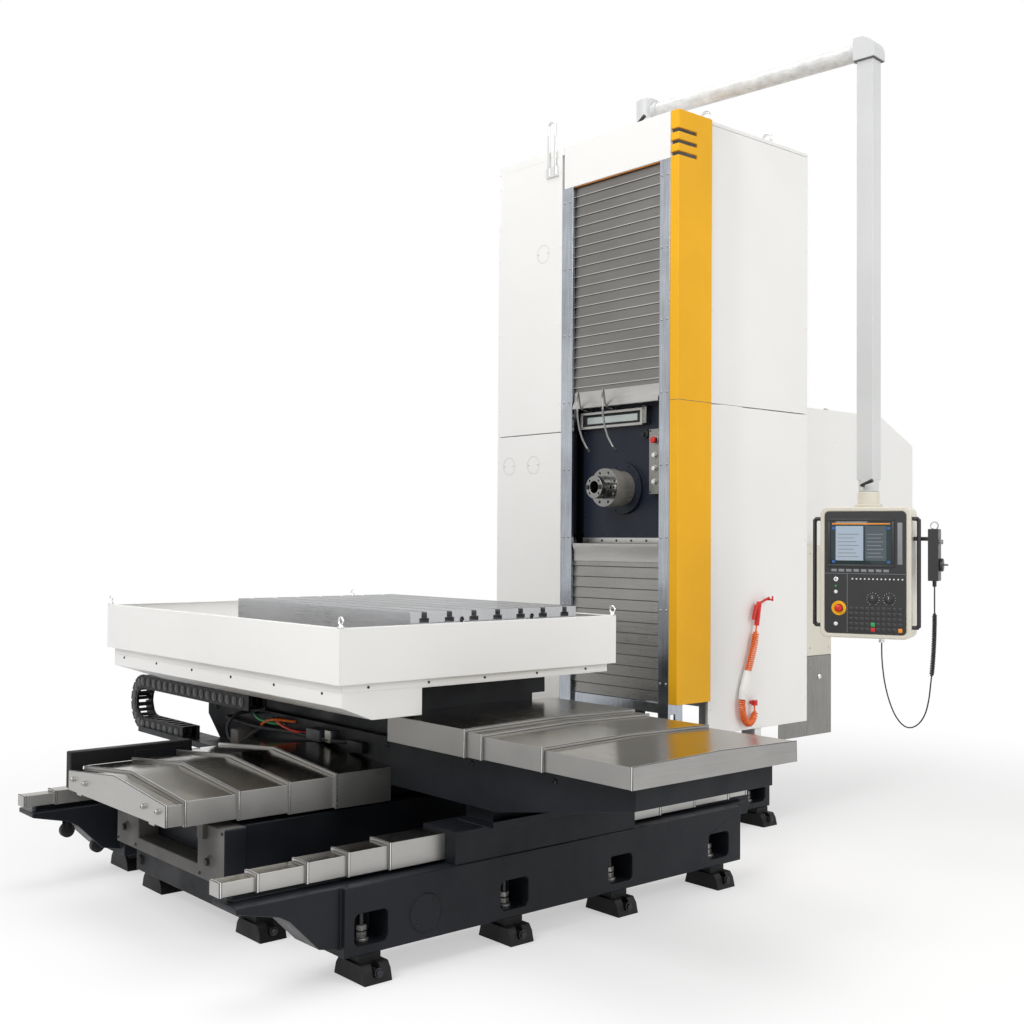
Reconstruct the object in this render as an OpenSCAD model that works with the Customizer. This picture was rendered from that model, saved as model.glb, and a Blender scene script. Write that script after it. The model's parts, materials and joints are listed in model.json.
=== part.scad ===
// Horizontal boring machine with a side-hung headstock, a cross table on a
// saddle, telescopic way covers and a swinging operator pendant.
// Millimetres, +Z up. The spindle points to -Y and the table crosses along X.

/* [Overall] */
// Height of the spindle axis above the floor, as it stands
spindle_h = 1955; // [1850:5:2100]
// Column face to the tips of the front way covers
front_reach = 3060; // [3060:5:3200]
// Column face to the rear of the tail hood
rear_reach = 2600; // [2400:5:2800]
// Near end of the saddle beam with its covers, from the spindle
cross_near = 2080; // [2080:5:2140]
// Far end of the saddle beam with its covers, from the spindle
cross_far = 1260; // [1260:5:1280]

/* [Bed] */
// Height of the levelling feet
foot_h = 100; // [80:1:120]
// Width of the main bed
bed_w = 1000; // [960:2:1020]
// Main bed ahead of the column face
bed_front = 2650; // [2600:5:2700]
// Main bed behind the column face
bed_rear = 810; // [780:5:900]
// Height of the main bed casting
bed_h = 380; // [360:1:388]
// Outer side of the outrigger beds, from the machine's centre
outrigger_x = 1190; // [1170:2:1230]
// How much nearer to the bed the far outrigger stands
far_shift = 195; // [180:5:210]
// Width of an outrigger bed
outrigger_w = 250; // [235:1:280]
// Height of an outrigger bed casting
outrigger_h = 260; // [240:1:266]
// Front end of the outriggers, ahead of the column face
outrigger_front = 2600; // [2560:5:2640]
// Rear end of the outriggers, ahead of the column face
outrigger_rear = 315; // [280:5:350]
// Distance of the main ways from the centre
way_x = 330; // [300:2:360]
// Width of a main way
way_w = 110; // [90:1:120]
// Height of a main way above the bed
way_h = 80; // [70:1:84]

/* [Saddle and table] */
// Saddle centre ahead of the column face, as it stands
saddle_d = 1540; // [1535:1:1545]
// Depth of the saddle beam
saddle_w = 780; // [760:2:790]
// Top of the saddle beam above the floor
saddle_top = 770; // [760:1:773]
// Table length
table_l = 1500; // [1400:10:1560]
// Table width
table_w = 970; // [900:5:1000]
// Table thickness
table_t = 250; // [220:1:252]
// Table top above the floor
table_top = 1340; // [1335:1:1370]
// T-slot pitch
slot_pitch = 137; // [130:1:140]
// T-slot throat width
slot_w = 28; // [22:1:32]
// Sheet thickness of guards and covers
sheet = 4; // [3:0.5:5]

/* [Column] */
// Top of the front opening above the floor
opening_top = 3784; // [3740:2:3800]
// Height of the closed header above the opening
header_h = 261; // [220:1:300]
// Bottom of the front opening
opening_bottom = 750; // [740:2:770]
// Half width of the front opening
opening_half = 352; // [348:1:360]
// Depth of the column guards
column_d = 1210; // [1190:5:1260]
// Outer far side of the column guards
column_far = 1045; // [1030:5:1080]
// Outer near side of the column guards
column_near = 491; // [485:1:500]
// Pitch of the apron slats
slat_pitch = 62; // [56:1:70]

/* [Headstock] */
// Headstock front below the spindle axis
head_below = 325; // [310:1:340]
// Headstock front above the spindle axis
head_above = 485; // [470:1:500]
// Recess of the headstock front behind the column face
head_recess = 94; // [80:1:110]
// Boring bar diameter
bar_d = 130; // [120:1:136]
// Spindle flange diameter
flange_d = 221.44; // [210:0.01:230]
// Bolt circle of the spindle flange
flange_pcd = 177.8; // [170:0.1:182]
// Screw hole diameter in the spindle flange
flange_hole_d = 16; // [12:0.5:18]
// Running clearance of shafts, per side
run = 0.05; // [0.03:0.01:0.08]
// Sliding gap between castings
gap = 0.5; // [0.3:0.1:1]

/* [Pendant] */
// Distance of the pendant post from the arm pivot
arm_l = 1437; // [1380:1:1480]
// Height of the arm axis above the column top
arm_rise = 155; // [145:1:195]
// Arm tube diameter
arm_d = 90; // [80:1:100]
// Lower end of the pendant post
post_bottom = 1910; // [1900:1:1940]
// Pendant width
pendant_w = 450; // [430:1:470]
// Pendant height
pendant_h = 665; // [650:1:690]
// Pendant depth
pendant_t = 200; // [180:1:220]
// Pendant bottom above the floor
pendant_z = 1165; // [1160:1:1170]

/* [Hidden] */
$fn = 48;

casting = "#2b323c";
steel = "#b9b7b2";
ivory = "#f3f2ee";
navy = "#1d2740";
black = "#18191b";

// The machine is drawn about the spindle and the column face, then shifted to its own middle.
chain_left = -1685;
mid_x = (cross_near + chain_left) / 2;
mid_y = (rear_reach - front_reach) / 2;
column_top = opening_top + header_h;
arm_z = column_top + arm_rise;
bed_top = foot_h + bed_h;
way_top = bed_top + way_h;
out_top = foot_h + outrigger_h;
out_in = outrigger_x - outrigger_w;
cover_x = outrigger_x - 135;
saddle_y = -saddle_d;
saddle_front = saddle_y - saddle_w / 2;
saddle_rear = saddle_y + saddle_w / 2;
wide_end = front_reach - 80;
fit_touch = 0.3;

module box(x, y, z) translate([x[0], y[0], z[0]]) cube([x[1] - x[0], y[1] - y[0], z[1] - z[0]]);
module near_far() {
    children();
    translate([far_shift, 0, 0]) mirror([1, 0, 0]) children();
}
module along_y(d, y0, y1) translate([0, y0, 0]) rotate([-90, 0, 0]) cylinder(d = d, h = y1 - y0);
module along_x(d, x0, x1) translate([x0, 0, 0]) rotate([0, 90, 0]) cylinder(d = d, h = x1 - x0);

// Plane rectangle with round corners, centred
module round_rect(w, h, r) {
    square([w - 2 * r, h], center = true);
    square([w, h - 2 * r], center = true);
    for (sx = [-1, 1], sy = [-1, 1]) translate([sx * (w / 2 - r), sy * (h / 2 - r)]) circle(r);
}

// Levelling feet
foot_l = 210;
foot_w = 125;
foot_base_h = 45;
foot_bolt_d = 24;
foot_ys = [-2480, -1770, -1150, -480];
foot_out_x = outrigger_x + 50 - foot_l / 2;
bed_foot_x = bed_w / 2 + 60 - foot_l / 2;
bed_foot_ys = [-2530, -1400, -300, 740];
column_foot_x = 950;
foot_shoulder_h = 70;
foot_pad_l = 130;
foot_pad_w = 100;
foot_slot_w = 34;
foot_slot_l = 60;

module foot() {
    difference() {
        union() {
            rotate([90, 0, 0]) linear_extrude(foot_w, center = true)
                polygon([[-foot_l / 2, 0], [foot_l / 2, 0], [foot_l / 2 - 12, foot_base_h],
                    [foot_l / 2 - 30, foot_shoulder_h], [-foot_l / 2 + 30, foot_shoulder_h],
                    [-foot_l / 2 + 12, foot_base_h]]);
            translate([-20, 0, 0]) box([-foot_pad_l / 2, foot_pad_l / 2], [-foot_pad_w / 2, foot_pad_w / 2],
                [foot_base_h, foot_h]);
        }
        box([foot_l / 2 - foot_slot_l, foot_l / 2 + 1], [-foot_slot_w / 2, foot_slot_w / 2],
            [foot_base_h - 20, foot_h + 1]);
    }
    translate([0, 0, foot_base_h - 5]) along_x(foot_bolt_d, foot_l / 2 - foot_slot_l, foot_l / 2 - 2);
}
module levelling_feet() color(black) {
    near_far() for (y = foot_ys) translate([foot_out_x, y, 0]) foot();
    for (y = bed_foot_ys) translate([bed_foot_x, y, 0]) foot();
    for (y = bed_foot_ys) if (y < 0) mirror([1, 0, 0]) translate([bed_foot_x, y, 0]) foot();
    mirror([1, 0, 0]) for (y = [150, 740]) translate([column_foot_x, y, 0]) foot();
}

// Outrigger beds
pocket_w = 150;
pocket_h = 120;
pocket_d = 130;
pocket_r = 24;
pocket_z = 195;
disc_d = 150;
disc_y = -2230;
out_way_w = 44;
out_way_top = 425;
bracket_x = [985, 1165];
bracket_drop = 62;

module anchor_pocket(x, y, z) translate([x, y, z]) rotate([90, 0, 90])
    translate([0, 0, -pocket_d]) linear_extrude(pocket_d + 1) round_rect(pocket_w, pocket_h, pocket_r);

// Side outline of the cantilever under the front end of a narrow cover
function bracket_outline() = [
    [-front_reach + 30, out_top], [-front_reach + 30, out_top - 22],
    [-front_reach + 200, out_top - bracket_drop], [-front_reach + 245, out_top - bracket_drop - 25],
        [-outrigger_front - 90, foot_h + 48],
    [-outrigger_front, foot_h + 30], [-outrigger_front, out_top]];

module outrigger() {
    difference() {
        box([out_in, outrigger_x], [-outrigger_front, -outrigger_rear], [foot_h, out_top]);
        for (y = foot_ys) anchor_pocket(outrigger_x, y, pocket_z);
    }
    translate([outrigger_x - 2, disc_y, pocket_z + 10]) rotate([0, 90, 0]) cylinder(d = disc_d, h = 8);
    box([cover_x - out_way_w / 2, cover_x + out_way_w / 2], [-front_reach + 60, -outrigger_rear + 130],
        [out_top, out_way_top]);
    box([out_in + 60, outrigger_x - 60], [-outrigger_rear, -outrigger_rear + 130], [out_top - 60, out_top]);
    translate([bracket_x[0], 0, 0]) rotate([90, 0, 90])
        linear_extrude(bracket_x[1] - bracket_x[0]) polygon(bracket_outline());
}
module outriggers() color(casting) near_far() outrigger();

// Main bed with its box ways and the foot of the column
end_frame_x = [-490, 545];
end_frame_z = 250;
end_frame_t = 100;
end_window_x = [-260, 310];
end_window_z = [305, 452];
end_bolt_z = 335;
boss_d = 46;
duct_x = [-600, -545];
duct_y = [-2950, -2350];
duct_z = [600, 668];
duct_drop = 100;
duct_stay_y = [-2640, -2400];
screw_d = 63;
screw_z = bed_top + 35;
shelf_x = 660;
shelf_z = 250;
bed_pocket_y = 690;

module bed() color(casting) {
    difference() {
        union() {
            box([-bed_w / 2, bed_w / 2], [-bed_front, bed_rear], [foot_h, bed_top]);
            box([-column_far + 10, -bed_w / 2], [60, bed_rear], [foot_h, bed_top]);
        }
        anchor_pocket(bed_w / 2, bed_pocket_y, pocket_z);
        for (y = [-2250, -1600, -950, -300]) anchor_pocket(bed_w / 2, y, pocket_z);
    }
    for (sx = [-1, 1]) {
        box([sx * way_x - way_w / 2, sx * way_x + way_w / 2], [-bed_front, -60], [bed_top, way_top]);
        translate([sx * (bed_w / 2 - 55), 0, foot_h + 55]) along_y(boss_d, -bed_front - 12, -bed_front);
    }
    end_frame();
    translate([bed_w / 2, 300, bed_top - 110]) rotate([0, 90, 0]) cylinder(d = disc_d, h = 8);
    box([bed_w / 2, shelf_x], [-bed_front + 120, -60], [shelf_z, shelf_z + sheet]);
    box([shelf_x - sheet, shelf_x], [-bed_front + 120, -60], [shelf_z, shelf_z + 60]);
    box([-bed_w / 2 - 40, -bed_w / 2], [-bed_front, -bed_front + 700], [bed_top - 60, bed_top]);
    box(duct_x, duct_y, duct_z);
    box(duct_x, [duct_y[0], duct_y[0] + 60], [duct_z[0] - duct_drop, duct_z[0] + 1]);
    box([duct_x[1] - 7, -bed_w / 2 - 40], duct_stay_y, [bed_top - 50, duct_z[0] + 40]);
}
// Open frame bolted on the end of the bed
module end_frame() {
    y = [-bed_front - end_frame_t, -bed_front - fit_touch];
    difference() {
        box(end_frame_x, y, [end_frame_z, bed_top]);
        box(end_window_x, [y[0] - 1, y[1] + 1], end_window_z);
    }
    for (x = [(end_frame_x[0] + end_window_x[0]) / 2, (end_frame_x[1] + end_window_x[1]) / 2])
        translate([x, 0, end_bolt_z]) along_y(boss_d, y[0] - 12, y[0]);
}

// Feed drives: a servo motor with its flange and the two screw bearings
motor_w = 190;
motor_l = 330;
module motor(l) {
    linear_extrude(l * 0.62) round_rect(motor_w, motor_w, 18);
    translate([0, 0, l * 0.62]) linear_extrude(l * 0.38) round_rect(motor_w * 0.9, motor_w * 0.9, 24);
}
module screw_block(d) difference() {
    translate([-110, -45, bed_top - screw_z]) cube([220, 90, screw_z - bed_top + 42]);
    along_y(d + 2 * run, -50, 50);
}
z_block_ys = [-bed_front + 90, -130];
module z_drive() color("#33383f") {
    for (y = z_block_ys) translate([0, y, screw_z]) screw_block(screw_d);
    translate([0, -bed_front, screw_z]) rotate([90, 0, 0])
        scale(2 * (screw_z - bed_top) / motor_w) motor(motor_l);
}
module z_screw() color(steel) translate([0, 0, screw_z]) along_y(screw_d, -bed_front + 30, -90);

// Telescopic way covers
wide_n = 5;
wide_half = 490;
wide_step = 10;
wide_low = 512;
wide_side = 597;
wide_rise = 11;
wide_ridge = 47;
narrow_half = 35;
narrow_step = 7.5;
narrow_low = 385;
narrow_side = 437;
narrow_rise = 10;
lip = 9;
cut = 40;
wide_drop = 5;
narrow_drop = 3;
narrow_ridge = 0.5;

// Section of a cover: sides and a low gable, size k counts from the smallest
function gable(half, low, side, ridge) =
    [[-half, low], [half, low], [half, side], [0, side + ridge], [-half, side]];
function wide_section(k, inset, drop) = gable(wide_half + wide_step * (k - 1) - inset,
    wide_low - wide_drop * (k - 1) - drop, wide_side + wide_rise * (k - 1) - inset, wide_ridge);
function narrow_section(k, inset, drop) = gable(narrow_half + narrow_step * (k - 1) - inset,
    narrow_low - narrow_drop * (k - 1) - drop, narrow_side + narrow_rise * (k - 1) - inset, narrow_ridge);

// Open-bottomed shell along Y
module shell(outer, inner, y0, y1) difference() {
    translate([0, y1, 0]) rotate([90, 0, 0]) linear_extrude(y1 - y0) polygon(outer);
    translate([0, y1 + 1, 0]) rotate([90, 0, 0]) linear_extrude(y1 - y0 + 2) polygon(inner);
}
// Sheet shell with a wiper lip at the edge that runs over the next smaller one
module wide_cover(k, y0, y1, lip_at) {
    shell(wide_section(k, 0, 0), wide_section(k, sheet, cut), y0, y1);
    if (k > 1) shell(wide_section(k, 0, 0), wide_section(k - 1, -fit_touch, cut), lip_at[0], lip_at[1]);
}
module narrow_cover(k, y0, y1, lip_at) near_far() translate([cover_x, 0, 0]) {
    shell(narrow_section(k, 0, 0), narrow_section(k, sheet, cut), y0, y1);
    if (k > 1) shell(narrow_section(k, 0, 0), narrow_section(k - 1, -fit_touch, cut), lip_at[0], lip_at[1]);
}

// Front edges and lengths of the segments, from the fixed end to the saddle
wide_front_e = [-wide_end, -2905, -2675, -2445, -2220];
wide_front_l = [190, 400, 400, 385, saddle_front - wide_front_e[4]];
narrow_front_e = [-front_reach, -2917, -2715, -2540, -2355];
shoe_front = -2080;
shoe_rear = -1055;
narrow_front_l = [250, 340, 320, 328, shoe_front - narrow_front_e[4]];
wide_rear_e = [-30, -300, -580, -860];
wide_rear_l = [400, 425, 400, wide_rear_e[3] - saddle_rear];
narrow_rear_e = [-153, -300, -560, -810];
narrow_rear_l = [290, 400, 365, narrow_rear_e[3] - shoe_rear];
end_plate_t = 8;
end_bolt_d = 22;
end_arm_x = 370;

module front_cover(k) {
    w = wide_front_e[k - 1];
    n = narrow_front_e[k - 1];
    wide_cover(k, w, w + wide_front_l[k - 1], [w, w + lip]);
    narrow_cover(k, n, n + narrow_front_l[k - 1], [n, n + lip]);
}
module rear_cover(k) {
    w = wide_rear_e[k - 1];
    n = narrow_rear_e[k - 1];
    wide_cover(k + 1, w - wide_rear_l[k - 1], w, [w - lip, w]);
    narrow_cover(k + 1, n - narrow_rear_l[k - 1], n, [n - lip, n]);
}
module end_plate(section, y) translate([0, y, 0]) rotate([90, 0, 0])
    linear_extrude(end_plate_t) polygon(section);
module z_cover_ends() color(steel) {
    front_cover(1);
    rear_cover(1);
    end_plate(wide_section(1, sheet, 0), -wide_end + end_plate_t);
    for (x = [-430, -300, 300, 430]) translate([x, 0, wide_side - 30])
        along_y(end_bolt_d, -wide_end - 10, -wide_end);
    near_far() translate([cover_x, 0, 0]) {
        end_plate(narrow_section(1, sheet, 0), -front_reach + end_plate_t);
        for (x = [-14, 14]) translate([x, 0, narrow_low + 22]) along_y(12, -front_reach, -front_reach + 40);
        end_plate(narrow_section(2, sheet, 0), narrow_rear_e[0]);
    }
    for (sx = [-1, 1]) {
        arm = [sx * end_arm_x - 25, sx * end_arm_x + 25];
        box(arm, [-bed_front - end_frame_t - 20, -bed_front - end_frame_t], [bed_top - 60, wide_low]);
        box(arm, [-wide_end, -bed_front], [wide_low - 8, wide_low]);
    }
}
module z_cover_saddle() color(steel) {
    front_cover(wide_n);
    rear_cover(4);
}
module z_front_cover_2() color(steel) front_cover(2);
module z_front_cover_3() color(steel) front_cover(3);
module z_front_cover_4() color(steel) front_cover(4);
module z_rear_cover_2() color(steel) rear_cover(2);
module z_rear_cover_3() color(steel) rear_cover(3);

// Saddle with its cross beam, cross ways and the two outer guide shoes
beam_x = [60 - cross_far, cross_near - 60];
beam_deep_x = [-1050, 1260];
beam_tip_z = 690;
x_way_y = 300;
x_way_w = 100;
x_way_top = 838;
shoe_top = 490;
shoe_x = [out_in + 30, outrigger_x - 5];
gutter_x = 1240;
slideway = way_top + gap;
nut_w = 240;

// Place of the cable chain and the trough it lies in
chain_y = [saddle_front - 230, saddle_front - 130];
chain_low = 614;
chain_high = 848;
chain_h = 75;
chain_pitch = 70;
chain_upper_n = 17;
chain_lower_n = 7;
chain_side = 12;
link_gap = 0.6;
chain_r = (chain_high - chain_low) / 2;
bend_n = 8;
bend_l = 2 * chain_r * tan(90 / bend_n);
bend_x = chain_left + chain_r + chain_h / 2;
trough_x = [-1560, -640];
trough_top = chain_low + chain_r - norm([chain_r + chain_h / 2, bend_l / 2]) - fit_touch;
trough_lip = 26;

module saddle() color(casting) {
    translate([0, saddle_rear, 0]) rotate([90, 0, 0]) linear_extrude(saddle_w)
        polygon([[beam_x[0], saddle_top], [beam_x[0], beam_tip_z], [beam_deep_x[0], slideway],
            [beam_deep_x[1], slideway], [beam_x[1], beam_tip_z], [beam_x[1], saddle_top]]);
    for (sy = [-1, 1]) translate([0, saddle_y + sy * x_way_y, 0])
        box([beam_x[0] + 40, beam_x[1] - 40], [-x_way_w / 2, x_way_w / 2], [saddle_top, x_way_top]);
    difference() {
        box([-nut_w / 2, nut_w / 2], [saddle_front + 180, saddle_rear - 180], [bed_top + gap,
            slideway + 1]);
        translate([0, 0, screw_z]) along_y(screw_d + 2 * run, saddle_front, saddle_rear);
    }
    box(trough_x, [chain_y[0] - 12, saddle_front], [trough_top - sheet, trough_top]);
    box(trough_x, [chain_y[0] - 12, chain_y[0] - 12 + sheet], [trough_top - sheet,
        trough_top + trough_lip]);
    near_far() {
        difference() {
            box(shoe_x, [shoe_front, shoe_rear], [out_top + gap, shoe_top]);
            box([cover_x - out_way_w / 2 - gap, cover_x + out_way_w / 2 + gap], [shoe_front - 1,
                shoe_rear + 1],
                [out_top - 1, out_way_top + gap]);
        }
        box([shoe_x[0] + 20, shoe_x[1] - 20], [saddle_front + 60, saddle_rear - 60], [shoe_top,
            slideway + 20]);
        box([shoe_x[0] + 40, gutter_x], [shoe_front + 150, shoe_rear + 240], [shoe_top, shoe_top + sheet]);
        box([gutter_x - sheet, gutter_x], [shoe_front + 150, shoe_rear + 240], [shoe_top, shoe_top + 28]);
    }
}

// Cross feed screw, bearings and motor between the cross ways
x_screw_d = 63;
x_screw_z = saddle_top + 34;
x_block_xs = [beam_x[0] + 100, beam_x[1] - 140];
module x_drive() color("#33383f") {
    for (x = x_block_xs) translate([x, saddle_y, x_screw_z]) rotate(90) difference() {
        translate([-100, -40, saddle_top - x_screw_z]) cube([200, 80, 70]);
        along_y(x_screw_d + 2 * run, -50, 50);
    }
    translate([beam_x[0], saddle_y, (saddle_top + beam_tip_z) / 2]) rotate([0, -90, 0])
        scale(0.4) motor(motor_l / 3);
}
module x_screw() color(steel) translate([0, saddle_y, x_screw_z])
    along_x(x_screw_d, x_block_xs[0] - 40, x_block_xs[1] + 40);

// Telescopic covers of the cross ways
x_cover_half = 465;
x_cover_step = 8;
x_cover_low = 783;
x_cover_side = 863;
x_cover_rise = 9;
x_cover_crown = 10;
x_cover_e = [[cross_near, 1624, 1275, 1178], [cross_far, 1209, 1172, 1150]];
x_cover_l = [[520, 500, 500, 538], [520, 500, 500, 510]];
x_cover_drop = 2;
function x_section(k, inset, drop) = gable(x_cover_half + x_cover_step * (k - 1) - inset,
    x_cover_low - x_cover_drop * (k - 1) - drop, x_cover_side + x_cover_rise * (k - 1) - inset,
        x_cover_crown);
module cross_side(side) translate([0, saddle_y, 0]) mirror([side, 0, 0]) rotate(-90) children();
module x_cover(k) for (side = [0, 1]) cross_side(side) {
    e = x_cover_e[side][k - 1];
    shell(x_section(k, 0, 0), x_section(k, sheet, cut), e - x_cover_l[side][k - 1], e);
    if (k > 1) shell(x_section(k, 0, 0), x_section(k - 1, -fit_touch, cut), e - lip, e);
}
module x_cover_ends() color(steel) {
    x_cover(1);
    for (side = [0, 1]) cross_side(side) {
        e = x_cover_e[side][0];
        end_plate(x_section(1, sheet, 0), e);
        box([-340, 340], [e - 100, e - end_plate_t], [x_cover_low, saddle_top + 40]);
    }
}
module x_cover_2() color(steel) x_cover(2);
module x_cover_3() color(steel) x_cover(3);
module x_cover_inner() color(steel) x_cover(4);

// Cable chain in front of the saddle; the loop runs at half the table's speed
module chain_link(l) {
    for (y = [chain_y[0], chain_y[1] - chain_side]) translate([0, y, 0]) {
        translate([-l / 2 + link_gap / 2, 0, -chain_h / 2]) cube([l - link_gap, chain_side, chain_h]);
    }
    translate([-l / 5, chain_y[0], chain_h / 2 - 10]) cube([l / 2.5, chain_y[1] - chain_y[0], 8]);
    translate([-l / 5, chain_y[0], -chain_h / 2 + 2]) cube([l / 2.5, chain_y[1] - chain_y[0], 8]);
}
module cable_chain() color(black) {
    for (i = [0 : chain_lower_n - 1]) translate([bend_x + chain_pitch * (i + 0.5), 0, chain_low])
        chain_link(chain_pitch);
    for (i = [0 : chain_upper_n - 1]) translate([bend_x + chain_pitch * (i + 0.5), 0, chain_high])
        chain_link(chain_pitch);
    for (i = [0 : bend_n - 1]) translate([bend_x, 0, (chain_low + chain_high) / 2])
        rotate([0, 180 * (i + 0.5) / bend_n, 0]) translate([0, 0, -chain_r]) chain_link(bend_l);
}

// Cross slide, table and the tray around them
cs_half = 640;
cs_w = 860;
cs_bottom = x_way_top + gap;
table_x = 45;
table_foot_w = 800;
tray_left = 730;
tray_right = 50;
tray_front = 385;
tray_rear = 220;
tray_x = [table_x - table_l / 2 - tray_left, table_x + table_l / 2 + tray_right];
tray_y = [saddle_y - table_w / 2 - tray_front, saddle_y + table_w / 2 + tray_rear];
tray_top = 1290;
tray_band = 1060;
tray_floor = 1020;
tray_bend = 965;
tray_low = 905;
tray_inset = 30;
tray_slope = [300, 150];
hopper_rear = saddle_y - cs_w / 2 - 5;
rim_w = 26;
slot_n = 7;
slot_depth = 48;
slot_foot_w = 50;
slot_foot_h = 20;

module cross_slide() color(casting) {
    box([-cs_half, cs_half], [saddle_y - x_way_y - x_way_w / 2, saddle_y + x_way_y + x_way_w / 2],
        [cs_bottom, x_cover_side + 60]);
    box([-cs_half, cs_half], [saddle_y - cs_w / 2, saddle_y + cs_w / 2], [x_cover_side + 60,
        table_top - table_t]);
    difference() {
        box([-180, 180], [saddle_y - 120, saddle_y + 120], [saddle_top + 2, cs_bottom]);
        translate([0, saddle_y, x_screw_z]) along_x(x_screw_d + 2 * run, -200, 200);
    }
}
module table() color("#8e8d8a") difference() {
    union() {
        translate([table_x, saddle_y, 0]) box([-table_l / 2, table_l / 2], [-table_w / 2, table_w / 2],
            [table_top - table_t + 90, table_top]);
        translate([table_x, saddle_y, 0]) box([-table_l / 2 + 90, table_l / 2 - 90],
            [-table_foot_w / 2, table_foot_w / 2], [table_top - table_t, table_top - table_t + 91]);
    }
    for (i = [0 : slot_n - 1]) translate([table_x, saddle_y + slot_pitch * (i - (slot_n - 1) / 2),
        table_top]) {
        box([-table_l, table_l], [-slot_w / 2, slot_w / 2], [-slot_depth, 1]);
        box([-table_l, table_l], [-slot_foot_w / 2, slot_foot_w / 2], [-slot_depth,
            -slot_depth + slot_foot_h]);
    }
    for (i = [-1.5, 1.5]) translate([table_x + table_l / 2, saddle_y + slot_pitch * i, table_top - 40])
        along_x(24, -40, 1);
}
// One side of the tray, a folded sheet with a rim and a ledge, mitred at both ends
tray_profile = [[0, tray_band], [0, tray_top], [rim_w, tray_top], [rim_w, tray_top - sheet],
    [sheet, tray_top - sheet], [sheet, tray_band + sheet], [tray_inset + sheet, tray_band + sheet],
    [tray_inset + sheet, tray_floor + sheet + fit_touch], [tray_inset, tray_floor + sheet + fit_touch],
    [tray_inset, tray_band]];
module tray_side(l) intersection() {
    depth = tray_inset + sheet + 1;
    rotate([90, 0, 90]) linear_extrude(l) polygon(tray_profile);
    linear_extrude(tray_top + 1) polygon([[fit_touch, 0], [l - fit_touch, 0],
        [l - fit_touch - depth, depth], [fit_touch + depth, depth]]);
}
// Trough under the front of the tray, its walls drawn in by t
module hopper(t) hull() {
    a = tray_inset + t;
    x1 = tray_x[1] - a;
    y1 = hopper_rear - t;
    box([tray_x[0] + a, x1], [tray_y[0] + a, y1], [tray_bend, tray_floor + 1]);
    box([tray_x[0] + a + tray_slope[0], x1], [tray_y[0] + a + tray_slope[1], y1], [tray_low, tray_low + 1]);
}
module tray() color(ivory) {
    across = tray_x[1] - tray_x[0];
    along = tray_y[1] - tray_y[0];
    translate([tray_x[0], tray_y[0], 0]) tray_side(across);
    translate([tray_x[1], tray_y[0], 0]) rotate(90) tray_side(along);
    translate([tray_x[1], tray_y[1], 0]) rotate(180) tray_side(across);
    translate([tray_x[0], tray_y[1], 0]) rotate(-90) tray_side(along);
    difference() {
        union() {
            box([tray_x[0] + tray_inset, tray_x[1] - tray_inset], [tray_y[0] + tray_inset,
                tray_y[1] - tray_inset],
                [tray_floor, tray_floor + sheet]);
            hopper(0);
        }
        translate([0, 0, sheet]) hopper(sheet);
        box([-cs_half, cs_half], [saddle_y - cs_w / 2, saddle_y + cs_w / 2], [tray_low - 1, tray_band]);
    }
}

// Ring bolt for a crane hook
eye_ring_d = 60;
eye_wire_d = 16;
module eye(s) scale(s) {
    cylinder(d = 34, h = 12);
    translate([0, 0, 12 + eye_ring_d / 2 + eye_wire_d / 2 - 6]) rotate([90, 0, 0])
        rotate_extrude() translate([eye_ring_d / 2, 0]) circle(d = eye_wire_d);
}

// Column casting, side hung, with the two headstock ways
col_x = [-column_far + 45, -480];
col_y = [90, 790];
col_way_x = -430;
col_way_ys = [250, 700];
col_way_w = 90;
screw_y_pos = [-440, 475];
y_screw_d = 63;
module column() color(casting) {
    box(col_x, col_y, [bed_top, opening_top + 60]);
    for (y = col_way_ys) box([col_x[1], col_way_x], [y - col_way_w / 2, y + col_way_w / 2],
        [bed_top + 150, opening_top + 60]);
}
y_block_zs = [700, opening_top - 80];
module y_drive() color("#33383f") {
    for (z = y_block_zs) translate([screw_y_pos[0], screw_y_pos[1], z]) difference() {
        box([col_x[1] - screw_y_pos[0], 60], [-60, 60], [-40, 40]);
        translate([0, 0, -50]) cylinder(d = y_screw_d + 2 * run, h = 100);
    }
    translate([screw_y_pos[0], screw_y_pos[1], opening_top + 20]) scale(0.4) motor(motor_l);
    box([col_x[1], screw_y_pos[0] + 60], [screw_y_pos[1] - 60, screw_y_pos[1] + 60],
        [opening_top, opening_top + 20]);
}
module y_screw() color(steel) translate([screw_y_pos[0], screw_y_pos[1], y_block_zs[0] - 40])
    cylinder(d = y_screw_d, h = y_block_zs[1] - y_block_zs[0] + 80);

// Sheet guards of the column
strip_left = [-450, -354];
strip_right = [351, 429];
trim_d = 285;
panel_t = 20;
panel_low = 557;
front_panel_top = column_top - 49;
seam_z = 2306;
side_seam_z = 2433;
seam = 5;
slot_trim_zs = [for (drop = [255, 190, 125]) column_top - drop];
notch_drop = 365;
port_d = 110;
port_x = -620;
port_drop = 625;
module column_front_panel() color(ivory) {
    difference() {
        box([-column_far, strip_left[0] - fit_touch], [0, panel_t], [opening_bottom - 120,
            seam_z - seam / 2]);
        for (x = [-930, -700]) translate([x, 0, seam_z - 190]) along_y(port_d, -1, 2);
    }
    difference() {
        box([-column_far, strip_left[0] - fit_touch], [0, panel_t], [seam_z + seam / 2, front_panel_top]);
        translate([port_x, 0, column_top - port_drop]) along_y(port_d, -1, 2);
        box([-column_far - 1, -column_far + 18], [-1, panel_t + 1], [column_top - notch_drop,
            front_panel_top + 1]);
    }
}
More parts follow.
